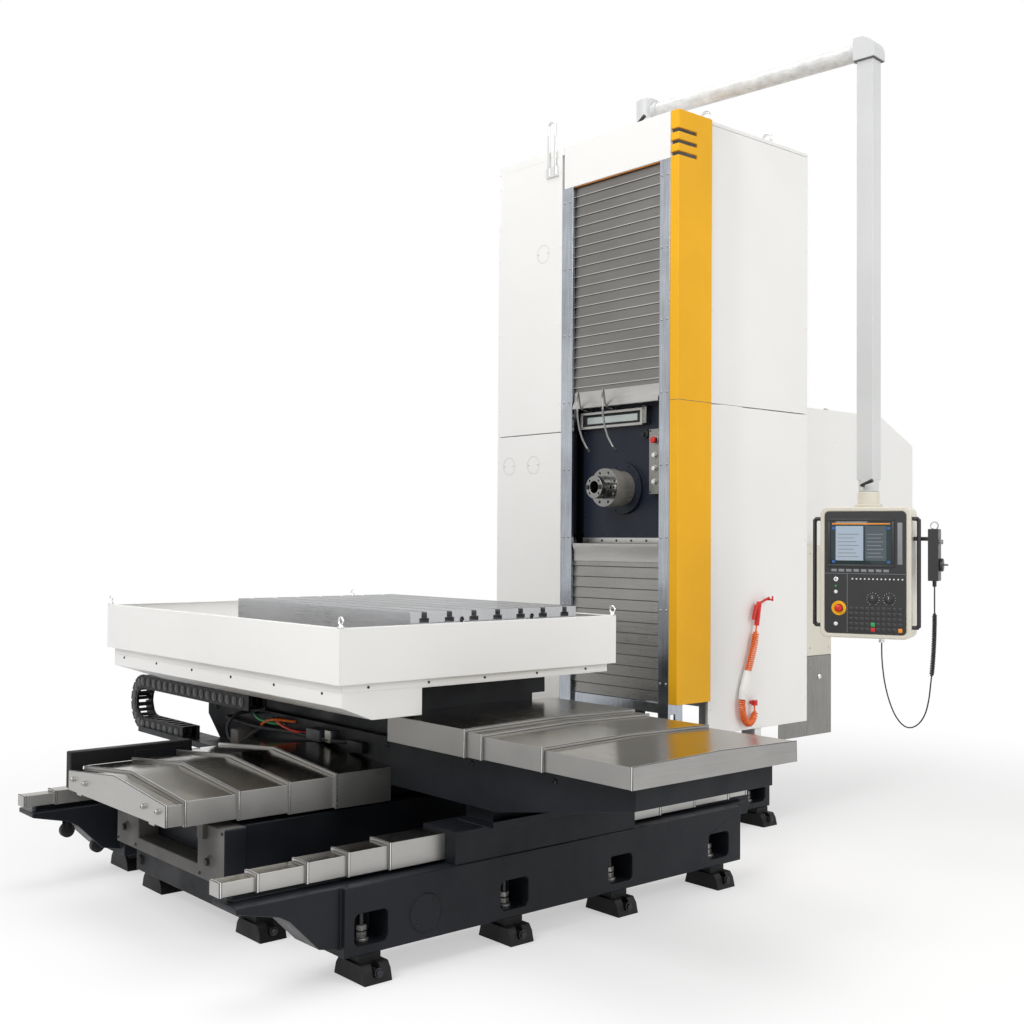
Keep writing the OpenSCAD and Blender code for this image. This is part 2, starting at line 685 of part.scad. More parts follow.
module column_side_panels() color(ivory) {
    for (z = [[panel_low, side_seam_z - seam / 2], [side_seam_z + seam / 2, column_top - 22]])
        box([column_near - panel_t - 20, column_near - 20], [trim_d + fit_touch, column_d], z);
    box([-column_far, -column_far + panel_t], [panel_t + fit_touch, column_d], [panel_low,
        front_panel_top]);
    difference() {
        box([-column_far + panel_t + fit_touch, column_near - panel_t - 20 - fit_touch],
            [column_d - panel_t, column_d], [panel_low, front_panel_top]);
        box([-opening_half, opening_half], [column_d - panel_t - 1, column_d + 1], [panel_low + 400,
            opening_top]);
    }
    for (y = [trim_d + 60, bed_rear - 80])
        box([column_near - panel_t - 120, column_near - panel_t - 20], [y, y + 60], [bed_top,
            column_top - 80]);
}
module top_cover() color(ivory) {
    box([strip_left[0] + 18, strip_right[1] - fit_touch], [0, panel_t], [opening_top, column_top]);
    difference() {
        box([-column_far, column_near - 20], [panel_t, column_d], [column_top - 20, column_top]);
        box([strip_right[1] - fit_touch, column_near], [0, trim_d + fit_touch], [column_top - 21,
            column_top + 1]);
    }
    box([-column_far, strip_left[0] + 17], [0.5, panel_t], [front_panel_top + fit_touch, column_top]);
    box([-column_far, column_near - 60], [column_d - panel_t, column_d], [front_panel_top + fit_touch,
        column_top]);
    box([-column_far, -column_far + panel_t], [panel_t, column_d], [front_panel_top + fit_touch,
        column_top]);
}
module corner_trim() color("#f0b010") difference() {
    union() {
        box([strip_right[1], column_near], [0, 18], [opening_bottom, column_top]);
        box([column_near - 18, column_near], [0, trim_d], [opening_bottom, column_top]);
        box([strip_right[1], column_near], [0, trim_d], [column_top - 18, column_top]);
    }
    for (z = slot_trim_zs) {
        box([strip_right[1] - 1, column_near + 1], [-1, trim_d * 0.55], [z, z + 22]);
    }
}
module guide_strips() color(steel) {
    box(strip_left, [0, panel_t], [opening_bottom - 60, opening_top - fit_touch]);
    box([strip_right[0], strip_right[1] - fit_touch], [0, panel_t], [opening_bottom - 90,
        opening_top - fit_touch]);
    box([strip_left[0], strip_left[0] + 16], [panel_t, 120], [opening_bottom - 60,
        opening_top - fit_touch]);
    box([strip_right[1] - 17, strip_right[1] - fit_touch], [panel_t, 120],
        [opening_bottom - 60, opening_top - fit_touch]);
    box([strip_left[0], strip_right[1] - fit_touch], [panel_t, 40], [opening_bottom - 60,
        opening_bottom - 4]);
    box([strip_right[1] - 17, strip_right[1] - fit_touch], [60, 120], [bed_top, opening_bottom - 60]);
    box([strip_left[0] + 30, strip_left[0] + 46], [60, 120], [bed_top, opening_bottom - 60]);
}
loop_x = -535;
loop_z = [column_top - 155, column_top + 175];
loop_w = 60;
loop_d = 18;
module lifting_eyes() color(steel) {
    translate([loop_x, -loop_d / 2, loop_z[0]]) {
        for (sx = [-1, 1]) translate([sx * loop_w / 2, 0, 0])
            cylinder(d = loop_d, h = loop_z[1] - loop_z[0] - loop_w / 2);
        translate([0, 0, loop_z[1] - loop_z[0] - loop_w / 2]) rotate([90, 0, 0])
            rotate_extrude(angle = 180) translate([loop_w / 2, 0]) circle(d = loop_d);
        translate([-loop_w / 2 - 25, -2, -10]) cube([loop_w + 50, loop_d / 2 + 2, 60]);
    }
    for (y = [330, 900]) translate([column_near - 90, y, column_top]) eye(1);
    for (y = [330, 900]) translate([-column_far + 90, y, column_top]) eye(1);
}
trunk_x = [362, column_near - 20];
trunk_y = [column_d + fit_touch, 1460];
module rear_trunk() color("#d9d5c6") {
    box(trunk_x, trunk_y, [950 + fit_touch, spindle_h - head_below]);
    box(trunk_x, trunk_y, [bed_top - 15, 950]);
    box([trunk_x[1] - 6, trunk_x[1]], [bed_rear + 120, column_d], [bed_top - 15, panel_low - fit_touch]);
}

// Slatted aprons above and below the headstock
apron_x = opening_half + 28;
apron_y = panel_t + fit_touch;
apron_t = 10;
slat_lift = 6;
slat_lap = 0.5;
module apron(z0, z1, n) {
    p = (z1 - z0 - slat_lap) / n;
    for (i = [0 : n - 1]) translate([0, apron_y, z0 + p * i]) rotate([90, 0, 90])
        translate([0, 0, -apron_x]) linear_extrude(2 * apron_x)
            polygon([[0, 0], [apron_t, 0], [apron_t, p + slat_lap], [slat_lift, p + slat_lap],
                [slat_lift, p]]);
}
head_top = spindle_h + head_above;
head_bottom = spindle_h - head_below;
module upper_apron() color(steel)
    apron(head_top + 2, opening_top - 2, round((opening_top - head_top) / slat_pitch));
module lower_apron() color(steel)
    apron(opening_bottom, head_bottom - 2, round((head_bottom - opening_bottom) / slat_pitch));

// Headstock housing on its side ways
head_x = [-344, 340];
head_rear = column_d - 40;
sleeve_d = 300;
face_t = 60;
foot_x = col_way_x + gap;
module headstock() color(navy) difference() {
    union() {
        box(head_x, [head_recess, head_recess + face_t], [head_bottom, head_top]);
        box([head_x[0] + 30, head_x[1] - 30], [head_recess + face_t - 1, head_rear], [head_bottom + 25,
            head_top - 25]);
        for (y = col_way_ys) box([foot_x, head_x[0] + 31], [y - 100, y + 100], [head_bottom + 60,
            head_top - 60]);
        box([col_x[1] + 6, head_x[0] + 31], [screw_y_pos[1] - 60, screw_y_pos[1] + 60],
            [spindle_h - 90, spindle_h + 90]);
        box(station_x, [station_y, head_recess], station_z);
        translate([0, 0, spindle_h]) along_y(sleeve_d, head_recess - 24, head_recess + 1);
        box([hood_x[0] + sheet + fit_touch, hood_x[1] - sheet - fit_touch], [head_rear - 1, column_d + 40],
            [head_bottom + 60, head_top - 60]);
    }
    translate([0, 0, spindle_h]) along_y(flange_d - 20 + 2 * run, head_recess - 40, head_recess + 700);
    translate([0, 0, spindle_h]) along_y(bar_d + 40, head_recess + 600, column_d + 60);
    translate([screw_y_pos[0], screw_y_pos[1], spindle_h - 100]) cylinder(d = y_screw_d + 2 * run, h = 200);
    for (z = concat([stop_z], button_zs)) translate([station_mid, 0, z])
        along_y(stem_d + 2 * run, station_y - 1, station_y + 30);
}
nose_y = -80;
nose_t = 70;
module milling_spindle() color(steel) translate([0, 0, spindle_h]) difference() {
    union() {
        along_y(flange_d, nose_y, nose_y + nose_t);
        along_y(flange_d - 20, nose_y + nose_t - 1, head_recess + 640);
    }
    along_y(bar_d + 2 * run, nose_y - 1, head_recess + 641);
    for (i = [0 : 7]) rotate([0, 45 * i + 22.5, 0]) translate([flange_pcd / 2, 0, 0])
        along_y(flange_hole_d, nose_y - 1, nose_y + 40);
}
taper_d = 69.85;
taper_l = 107;
taper_small = 38;
bar_nose = -160;
bar_rear = 1900;
module boring_bar() color("#a9a7a2") translate([0, 0, spindle_h]) difference() {
    along_y(bar_d, bar_nose, bar_rear);
    translate([0, bar_nose - 0.01, 0]) rotate([-90, 0, 0]) cylinder(d1 = taper_d, d2 = taper_small,
        h = taper_l);
    along_y(27, bar_nose + taper_l - 1, bar_nose + taper_l + 120);
    for (i = [0 : 3]) rotate([0, 90 * i + 45, 0]) translate([50.8, 0, 0]) along_y(12, bar_nose - 1,
        bar_nose + 25);
}
hood_x = [-320, 340];
hood_cut = 180;
module tail_hood() color(ivory) difference() {
    rise = head_top + 60;
    translate([hood_x[0], 0, 0]) rotate([90, 0, 90]) linear_extrude(hood_x[1] - hood_x[0])
        polygon([[column_d + 1, head_bottom], [rear_reach, head_bottom], [rear_reach, rise - hood_cut],
            [rear_reach - 2.2 * hood_cut, rise], [column_d + 1, rise]]);
    translate([hood_x[0] + sheet, 0, 0]) rotate([90, 0,
        90]) linear_extrude(hood_x[1] - hood_x[0] - 2 * sheet)
        polygon([[column_d, head_bottom + sheet], [rear_reach - sheet, head_bottom + sheet],
            [rear_reach - sheet, rise - hood_cut - sheet], [rear_reach - 2.2 * hood_cut - sheet,
                rise - sheet],
            [column_d, rise - sheet]]);
}
drive_x = 120;
drive_z = 220;
module spindle_drive() color("#33383f") {
    translate([drive_x, column_d + 40, spindle_h + drive_z]) rotate([-90, 0,
        0]) scale(1.3) motor(motor_l * 1.6);
    difference() {
        box([head_x[0] + 60, head_x[1] - 60], [column_d + 40 + fit_touch, column_d + 110],
            [head_bottom + 80, spindle_h + drive_z - motor_w * 0.65 - 1]);
        translate([0, 0, spindle_h]) along_y(bar_d + 40, column_d, column_d + 120);
    }
    box([hood_x[0] + sheet, hood_x[1] - sheet], [column_d + 111, rear_reach - 2.4 * hood_cut],
        [head_bottom + sheet, head_bottom + sheet + 30]);
}

// Tube swept along a route, a ring at every point
function unit(v) = v / norm(v);
function tangent(p, i) = unit(p[min(i + 1, len(p) - 1)] - p[max(i - 1, 0)]);
function ring(p, i, d, n, side) = let (t = tangent(p, i), a = unit(cross(side, t)), b = cross(t, a))
    [for (k = [0 : n - 1]) p[i] + (cos(360 * k / n) * a + sin(360 * k / n) * b) * d / 2];
module tube(p, d, n, side) {
    m = len(p);
    points = [for (i = [0 : m - 1]) each ring(p, i, d, n, side)];
    walls = [for (i = [0 : m - 2], k = [0 : n - 1])
        [i * n + k, i * n + (k + 1) % n, (i + 1) * n + (k + 1) % n, (i + 1) * n + k]];
    start = [[for (k = [n - 1 : -1 : 0]) k]];
    finish = [[for (k = [0 : n - 1]) (m - 1) * n + k]];
    polyhedron(points, concat(walls, start, finish));
}

// Fittings on the headstock front
lamp_x = [-340, 170];
lamp_z = [head_top - 124, head_top - 24];
module work_lamp() color(steel) difference() {
    box(lamp_x, [head_recess - 38, head_recess], lamp_z);
    box([lamp_x[0] + 18, lamp_x[1] - 18], [head_recess - 39, head_recess - 12], [lamp_z[0] + 16,
        lamp_z[1] - 16]);
}
nozzle_d = 12;
nozzle_xs = [-270, -60];
nozzle_route = [[0, head_recess, -14], [0, 40, -14], [0, 8, -12], [0, -12, 8], [2, -22, 48], [10, -36, 80],
    [22, -56, 84], [34, -72, 60], [44, -80, 10], [54, -84, -60], [70, -86, -130], [98, -88, -195],
    [135, -90, -245], [165, -92, -275]];
module coolant_nozzles() color(steel)
    for (x = nozzle_xs) translate([x, 0, head_top]) tube(nozzle_route, nozzle_d, 10, [1, 0, 0]);
station_x = [232, 322];
station_z = [spindle_h - 40, spindle_h + 330];
station_y = head_recess - 46;
stop_d = 40;
button_d = 26;
button_zs = [spindle_h + 180, spindle_h + 105, spindle_h + 30];
stem_d = 16;
stop_z = spindle_h + 265;
station_mid = (station_x[0] + station_x[1]) / 2;
button_travel = 5;
module push(z, d, head) translate([station_mid, 0, z]) {
    along_y(d, station_y - head - button_travel - 1, station_y - button_travel - 1);
    along_y(stem_d, station_y - button_travel - 1, station_y + 20);
}
module headstock_stop() color("#c81e1a") push(stop_z, stop_d, 18);
module start_button() color("#e6e6e2") push(button_zs[0], button_d, 10);
module hold_button() color("#e6e6e2") push(button_zs[1], button_d, 10);
module jog_button() color("#e6e6e2") push(button_zs[2], button_d, 10);

// Air gun on its hook with the coiled hose
hook_y = 790;
gun_x = column_near - 20;
gun_off = 32;
gun_z = 1290;
fitting_z = 700;
module air_gun() color("#d8261c") {
    translate([gun_x, hook_y, gun_z + 20]) along_x(10, 0, 60);
    translate([gun_x + 60, hook_y, gun_z + 12]) cylinder(d = 10, h = 30);
    translate([gun_x + gun_off, 0, 0]) {
        translate([0, 700, gun_z]) rotate([-72, 0, 0]) cylinder(d = 14, h = 100);
        translate([0, 700, gun_z]) rotate([-10, 0, 0]) translate([0, 0, -130]) cylinder(d = 30, h = 140);
        translate([-10, 640, gun_z - 90]) rotate([-20, 0, 0]) cube([20, 14, 90]);
    }
    translate([gun_x, 660, fitting_z + 15]) along_x(20, 0, gun_off);
    translate([gun_x + gun_off, 660, fitting_z]) cylinder(d = 36, h = 30);
}
hose_d = 44;
hose_route = [[503, 677.357, 1161.581], [503, 668.396, 1110.765], [503, 652, 1040], [503, 628, 970],
    [503, 600, 900],
    [503, 572, 830], [503, 552, 760], [503, 548, 690], [503, 566, 630], [503, 604, 600], [503, 640, 615],
    [503, 660, 650], [503, 660, 699.6]];

module air_hose() color("#f05a1e") tube(hose_route, hose_d, 10, [1, 0, 0]);

// Pendant arm from the column top
arm_x = 0;
arm_y = 270;
pivot_d = 120;
arm_angle = 5.6;
elbow = 120;
post_w = 90;
base_d = 190;
module at_pivot() translate([arm_x, arm_y, 0]) children();
module along_arm() at_pivot() rotate(arm_angle) children();
module arm_base() color(ivory) at_pivot() {
    translate([0, 0, column_top]) cylinder(d = base_d, h = 20);
    translate([0, 0, column_top + 20]) cylinder(d = pivot_d, h = arm_z - 60 - column_top - 20);
    translate([0, 0, arm_z - 60]) cylinder(d = 50, h = 60);
}
module arm_lever() color(black) at_pivot() translate([0, -pivot_d / 2, arm_z - 100]) {
    along_y(16, -40, -0.3);
    translate([0, -44, 0]) rotate([0, 60, 0]) cylinder(d1 = 14, d2 = 22, h = 90);
}
module pendant_arm() color("#dcdcd8") {
    along_arm() {
        difference() {
            translate([0, 0, arm_z - 60 + fit_touch]) cylinder(d = pivot_d + 10, h = 130);
            translate([0, 0, arm_z - 60]) cylinder(d = 50 + 2 * run, h = 60 + 1);
        }
        translate([0, 0, arm_z]) along_x(arm_d, pivot_d / 2 - 10, arm_l - elbow / 2 + 1);
        translate([arm_l, 0, arm_z]) cube([elbow, elbow, elbow], center = true);
        translate([arm_l - post_w / 2, -post_w / 2, post_bottom + 60])
            cube([post_w, post_w, arm_z - post_bottom - 110]);
        translate([arm_l, 0, post_bottom]) cylinder(d = 100, h = 61);
        translate([arm_l, 0, post_bottom - 50]) cylinder(d = 40, h = 51);
    }
}

// Pendant, drawn facing -Y about the post and turned to the operator
pendant_turn = 22.6;
post_xy = [arm_x + arm_l * cos(arm_angle), arm_y + arm_l * sin(arm_angle)];
pendant_top = pendant_z + pendant_h;
neck_top = post_bottom - 0.3;
box_r = 36;
face_y = -pendant_t / 2;
module at_pendant() translate([post_xy[0], post_xy[1], 0]) rotate(pendant_turn) children();
handle_d = 20;
handle_off = 34;
handle_x = pendant_w / 2 + handle_off;
handle_z = [pendant_z + 60, pendant_top - 60];
panel_inset = 22;
hole_x = -130;
hole_z = pendant_z + 150;
dial_xs = [40, 120];
dial_z = pendant_z + 200;
dial_d = 40;
module pendant_box() color("#e4e0d4") at_pendant() {
    difference() {
        union() {
            translate([0, pendant_t / 2, pendant_z + pendant_h / 2]) rotate([90, 0, 0])
                linear_extrude(pendant_t) round_rect(pendant_w, pendant_h, box_r);
            translate([0, 0, pendant_top - 1]) cylinder(d = 110, h = neck_top - pendant_top + 1);
        }
        translate([0, 0, post_bottom - 51]) cylinder(d = 40 + 2 * run, h = 60);
        translate([0, face_y + 6, pendant_z + pendant_h / 2]) rotate([90, 0, 0])
            linear_extrude(10) round_rect(pendant_w - 2 * panel_inset, pendant_h - 2 * panel_inset,
                box_r - 14);
        for (x = concat([hole_x], dial_xs)) translate([x, 0, x == hole_x ? hole_z : dial_z])
            along_y(stem_d + 2 * run, face_y - 1, face_y + 40);
    }
    for (sx = [-1, 1]) translate([sx * handle_x, face_y + 30, 0]) {
        translate([0, 0, handle_z[0]]) cylinder(d = handle_d, h = handle_z[1] - handle_z[0]);
        for (z = handle_z) translate([0, 0, z]) rotate([0, sx > 0 ? -90 : 90,
            0]) cylinder(d = handle_d, h = handle_off - fit_touch);
    }
}
module pendant_panel() color(black) at_pendant() difference() {
    translate([0, face_y + 6, pendant_z + pendant_h / 2]) rotate([90, 0, 0])
        linear_extrude(5) round_rect(pendant_w - 2 * panel_inset - 1, pendant_h - 2 * panel_inset - 1,
            box_r - 14);
    for (x = concat([hole_x], dial_xs)) translate([x, 0, x == hole_x ? hole_z : dial_z])
        along_y(stem_d + 2 * run, face_y - 1, face_y + 40);
    translate([-20, face_y - 1, pendant_z + 480]) rotate([90, 0, 0]) linear_extrude(3, center = true)
        round_rect(300, 230, 8);
}
module pendant_stop() color("#c81e1a") at_pendant() translate([hole_x, 0, hole_z]) {
    along_y(stop_d, face_y - 26, face_y - 8);
    along_y(stem_d, face_y - 8, face_y + 20);
}
module dial(x) at_pendant() translate([x, 0, dial_z]) {
    along_y(dial_d, face_y - 20, face_y - 1);
    along_y(stem_d, face_y - 1, face_y + 30);
}
module feed_dial() color(black) dial(dial_xs[0]);
module speed_dial() color(black) dial(dial_xs[1]);
module swivel_lever() color(black) along_arm() translate([arm_l, -50, post_bottom + 30]) {
    along_y(14, -30, -0.3);
    translate([0, -34, 0]) rotate([0, 70, 0]) cylinder(d1 = 12, d2 = 20, h = 70);
}
wheel_x = handle_x + 40;
wheel_z = [1460, 1720];
wheel_d = 66;
module handwheel_unit() color(black) at_pendant() {
    difference() {
        box([wheel_x, wheel_x + 50], [-55, 45], wheel_z);
        translate([0, -5, wheel_z[0] + 80]) along_x(10 + 2 * run, wheel_x + 20, wheel_x + 51);
    }
    box([pendant_w / 2, wheel_x], [-30, 20], [wheel_z[1] - 60, wheel_z[1] - 40]);
    translate([wheel_x + 25, -5, wheel_z[0] - 30]) cylinder(d = 20, h = 30);
    translate([60, 30, pendant_z - 26]) cylinder(d = 26, h = 26);
}
module handwheel() color("#2a2b2e") at_pendant() translate([0, -5, wheel_z[0] + 80]) {
    along_x(wheel_d, wheel_x + 51, wheel_x + 68);
    along_x(10, wheel_x + 21, wheel_x + 52);
    translate([0, 22, 0]) along_x(10, wheel_x + 67, wheel_x + 88);
}
cord_d = 25;
cord_route = [[324, -5, 1430], [324, -5, 1380], [324, -5, 1320], [324, -5, 1260], [322, -4, 1180],
    [318, -2, 1100],
    [312, 0, 1020], [304, 2, 940], [294, 6, 860], [276, 10, 790], [246, 14, 740], [206, 18, 715], [166,
        22, 725],
    [126, 25, 775], [96, 27, 850], [76, 29, 930], [66, 30, 1000], [61, 30, 1060], [60, 30, 1110], [60,
        30, 1139]];
module pendant_cord() color(black) at_pendant() tube(cord_route, cord_d, 8, [0, 1, 0]);

module placed() translate([-mid_x, -mid_y, 0]) children();

placed() bed();
placed() outriggers();
placed() levelling_feet();
placed() z_drive();
placed() z_screw();
placed() column();
placed() y_drive();
placed() y_screw();
placed() column_front_panel();
placed() column_side_panels();
placed() top_cover();
placed() corner_trim();
placed() guide_strips();
placed() lifting_eyes();
placed() rear_trunk();
placed() z_cover_ends();
placed() upper_apron();
placed() lower_apron();
placed() air_gun();
placed() air_hose();
placed() saddle();
placed() x_drive();
placed() x_screw();
placed() z_cover_saddle();
placed() x_cover_ends();
placed() z_front_cover_2();
placed() z_front_cover_3();
placed() z_front_cover_4();
placed() z_rear_cover_2();
placed() z_rear_cover_3();
placed() x_cover_2();
placed() x_cover_3();
placed() cable_chain();
placed() cross_slide();
placed() table();
placed() tray();
placed() x_cover_inner();
placed() headstock();
placed() work_lamp();
placed() coolant_nozzles();
placed() tail_hood();
placed() spindle_drive();
placed() milling_spindle();
placed() boring_bar();
placed() headstock_stop();
placed() start_button();
placed() hold_button();
placed() jog_button();
placed() arm_base();
placed() arm_lever();
placed() pendant_arm();
placed() pendant_box();
placed() pendant_panel();
placed() pendant_stop();
placed() feed_dial();
placed() speed_dial();
placed() swivel_lever();
placed() handwheel_unit();
placed() handwheel();
placed() pendant_cord();
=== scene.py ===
"""Looks of the horizontal boring machine.

Materials, dressed castings and covers, fittings, cords, light and camera, in metres.
"""
import json
from itertools import product
from math import atan2, cos, pi, radians, sin

import bmesh
import bpy
from mathutils import Matrix, Vector


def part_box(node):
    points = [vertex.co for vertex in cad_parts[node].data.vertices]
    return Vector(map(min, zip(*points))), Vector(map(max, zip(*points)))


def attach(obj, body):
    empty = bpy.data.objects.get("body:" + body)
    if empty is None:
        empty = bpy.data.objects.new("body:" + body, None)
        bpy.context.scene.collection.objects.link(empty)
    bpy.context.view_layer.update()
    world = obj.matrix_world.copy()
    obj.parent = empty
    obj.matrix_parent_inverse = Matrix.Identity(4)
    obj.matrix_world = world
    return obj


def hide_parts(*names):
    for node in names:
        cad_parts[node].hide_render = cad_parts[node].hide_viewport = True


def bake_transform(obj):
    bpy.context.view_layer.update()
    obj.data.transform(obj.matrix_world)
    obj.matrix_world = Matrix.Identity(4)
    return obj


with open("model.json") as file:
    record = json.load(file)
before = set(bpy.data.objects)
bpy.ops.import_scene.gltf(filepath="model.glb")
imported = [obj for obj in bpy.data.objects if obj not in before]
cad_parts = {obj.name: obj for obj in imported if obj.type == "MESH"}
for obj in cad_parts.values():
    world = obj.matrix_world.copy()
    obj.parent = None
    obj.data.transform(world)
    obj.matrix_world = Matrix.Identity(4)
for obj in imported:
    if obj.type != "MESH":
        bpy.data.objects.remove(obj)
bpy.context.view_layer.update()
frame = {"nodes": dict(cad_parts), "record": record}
slot_of = {s["node"]: s["material_slot"] for s in frame["record"]["subparts"]}
body_of = {n: b for b, ns in frame["record"]["behaviour"]["bodies"].items() for n in ns}
joints = {j["name"]: j for j in frame["record"]["behaviour"]["joints"]}
scene = bpy.context.scene

FRONT, NEAR, BACK, UP = (0, -1, 0), (1, 0, 0), (0, 1, 0), (0, 0, 1)


# Places from the frame: the machine, its arm and its pendant are drawn from the floor under a joint
def turn_of(joint):
    """Angle from the machine's Y to a joint's axis"""
    x, y, _ = joints[joint]["axis"]
    return atan2(-x, y)


def box_of(node):
    """Low and high corner of a node, in machine places"""
    return [MACHINE.inverted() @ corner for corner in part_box(node)]


def middle_of(node):
    """Middle of a node's box, in machine places"""
    low, high = box_of(node)
    return (low + high) / 2


AXIS_X, COLUMN_Y, AXIS_Z = joints["spindle_turn"]["pos_m"]
MACHINE = Matrix.Translation((AXIS_X, COLUMN_Y, 0))
ARM_L, ARM_TURN, PENDANT_TURN = 1.437, turn_of("swivel_lever_turn"), turn_of("pendant_stop_press")
PIVOT = Vector((0, joints["arm_swing"]["pos_m"][1] - COLUMN_Y, 0))
POST = PIVOT + Vector((ARM_L * cos(ARM_TURN), ARM_L * sin(ARM_TURN), 0))
AT_ARM = MACHINE @ Matrix.Translation(PIVOT) @ Matrix.Rotation(ARM_TURN, 4, "Z")
AT_PENDANT = MACHINE @ Matrix.Translation(POST) @ Matrix.Rotation(PENDANT_TURN, 4, "Z")
HEAD_Y = box_of("work_lamp")[1].y
HEAD_LOW, HEAD_TOP = [corner.z for corner in box_of("headstock")]


# Materials; a noise runs mostly between its low and its high
NOISE_LOW, NOISE_HIGH = 0.3, 0.7


def new_node(tree, kind, feeds=(), **values):
    """New shader node with its settings and values; feeds pair a socket with an output"""
    made = tree.nodes.new("ShaderNode" + kind)
    for key, value in values.items():
        if hasattr(made, key):
            setattr(made, key, value)
        else:
            made.inputs[key.replace("_", " ")].default_value = value
    for socket, output in feeds:
        tree.links.new(output, made.inputs[socket])
    return made


class Shader:
    """A Principled material and short ways to feed it from procedural textures."""

    def __init__(self, name, colour, rough, metal=0.0, **sockets):
        self.mat = bpy.data.materials.new(name)
        self.mat.use_nodes = True
        self.tree = self.mat.node_tree
        self.bsdf = self.tree.nodes["Principled BSDF"]
        self.height = None
        values = {"Base_Color": (*colour, 1.0), "Roughness": rough, "Metallic": metal, **sockets}
        for socket, value in values.items():
            self.bsdf.inputs[socket.replace("_", " ")].default_value = value

    def noise(self, scale, detail=3.0, stretch=(1, 1, 1), rough=0.5):
        place = new_node(self.tree, "TexCoord")
        mapping = new_node(self.tree, "Mapping", [("Vector", place.outputs["Object"])], Scale=stretch)
        noise = new_node(self.tree, "TexNoise", [("Vector", mapping.outputs["Vector"])],
                         Scale=scale, Detail=detail, Roughness=rough)
        return noise.outputs["Fac"]

    def span(self, value, low, high):
        """The noise spread from low to high"""
        spread = new_node(self.tree, "MapRange", [("Value", value)],
                          From_Min=NOISE_LOW, From_Max=NOISE_HIGH, To_Min=low, To_Max=high)
        return spread.outputs["Result"]

    def tint(self, value, dark, light):
        """The noise spread from dark to light"""
        ramp = new_node(self.tree, "ValToRGB", [("Fac", value)])
        for stop, position, colour in zip(ramp.color_ramp.elements, (NOISE_LOW, NOISE_HIGH), (dark, light)):
            stop.position = position
            stop.color = (*colour, 1)
        return ramp.outputs["Color"]

    def to(self, output, socket):
        self.tree.links.new(output, self.bsdf.inputs[socket])

    def bump(self, value, strength, distance):
        """Relief on top of what is there"""
        feeds = [("Height", value)]
        if self.height is not None:
            feeds.append(("Normal", self.height))
        relief = new_node(self.tree, "Bump", feeds, Strength=strength, Distance=distance)
        self.height = relief.outputs["Normal"]
        self.to(self.height, "Normal")


def scaled(colour, factor):
    """A lighter or darker shade of a colour"""
    return tuple(min(1.0, c * factor) for c in colour)


def paint(name, colour, rough=0.4, spread=0.06, shine=0.5):
    """Sprayed paint: slow shade changes, fine orange peel"""
    s = Shader(name, colour, rough, Specular_IOR_Level=shine)
    s.to(s.tint(s.noise(1.7, 4), scaled(colour, 1 - spread), scaled(colour, 1 + spread)), "Base Color")
    s.to(s.span(s.noise(9, 4), rough - 0.06, rough + 0.08), "Roughness")
    s.bump(s.noise(420, 2), 0.12, 0.0006)
    return s.mat


def cast_paint(name, colour, rough=0.45):
    """Filled and painted casting, a little uneven, with scuffs"""
    s = Shader(name, colour, rough, Specular_IOR_Level=0.2)
    s.to(s.tint(s.noise(3.1, 6, rough=0.62), scaled(colour, 0.72), scaled(colour, 1.25)), "Base Color")
    s.to(s.span(s.noise(6, 5), rough - 0.12, rough + 0.14), "Roughness")
    s.bump(s.noise(160, 4), 0.25, 0.0012)
    s.bump(s.noise(7, 2), 0.3, 0.004)
    return s.mat


def brushed(name, colour, rough, grain, streak=0.18, smudge=0.12, metal=1.0):
    """Brushed or ground steel; grain is the axis the scratches run along"""
    s = Shader(name, colour, rough, metal)
    across = [420.0] * 3
    across[grain] = 5.0
    lines = s.noise(1, 3, tuple(across), 0.6)
    cloud = s.noise(2.6, 5, rough=0.6)
    both = new_node(s.tree, "Math", [(0, lines), (1, cloud)], operation="ADD")
    half = new_node(s.tree, "Math", [(0, both.outputs[0])], operation="MULTIPLY")
    half.inputs[1].default_value = 0.5
    s.to(s.tint(half.outputs[0], scaled(colour, 1 - streak), scaled(colour, 1 + streak)), "Base Color")
    s.to(s.span(half.outputs[0], rough - smudge, rough + smudge), "Roughness")
    s.bump(lines, 0.12, 0.0004)
    return s.mat


def plastic(name, colour, rough=0.45, grain=0.15, **sockets):
    """Moulded plastic with a fine spark-eroded grain"""
    s = Shader(name, colour, rough, **sockets)
    s.to(s.tint(s.noise(14, 3), scaled(colour, 0.92), scaled(colour, 1.08)), "Base Color")
    s.to(s.span(s.noise(30, 3), rough - 0.05, rough + 0.06), "Roughness")
    s.bump(s.noise(900, 2), grain, 0.0003)
    return s.mat


def film(name, colour):
    """Crinkled packing film round the arm tube"""
    s = Shader(name, colour, 0.3, Coat_Weight=0.3)
    s.to(s.tint(s.noise(26, 6, (0.5, 1, 1), 0.7), scaled(colour, 0.72), scaled(colour, 1.12)), "Base Color")
    s.to(s.span(s.noise(40, 4), 0.18, 0.5), "Roughness")
    s.bump(s.noise(55, 5, (0.6, 1, 1)), 0.5, 0.004)
    return s.mat


def glow(name, colour, strength, rough=0.3):
    """Lit surface of a lamp or screen"""
    s = Shader(name, colour, rough, Emission_Color=(*colour, 1.0), Emission_Strength=strength)
    s.bump(s.noise(600, 2), 0.1, 0.0002)
    return s.mat


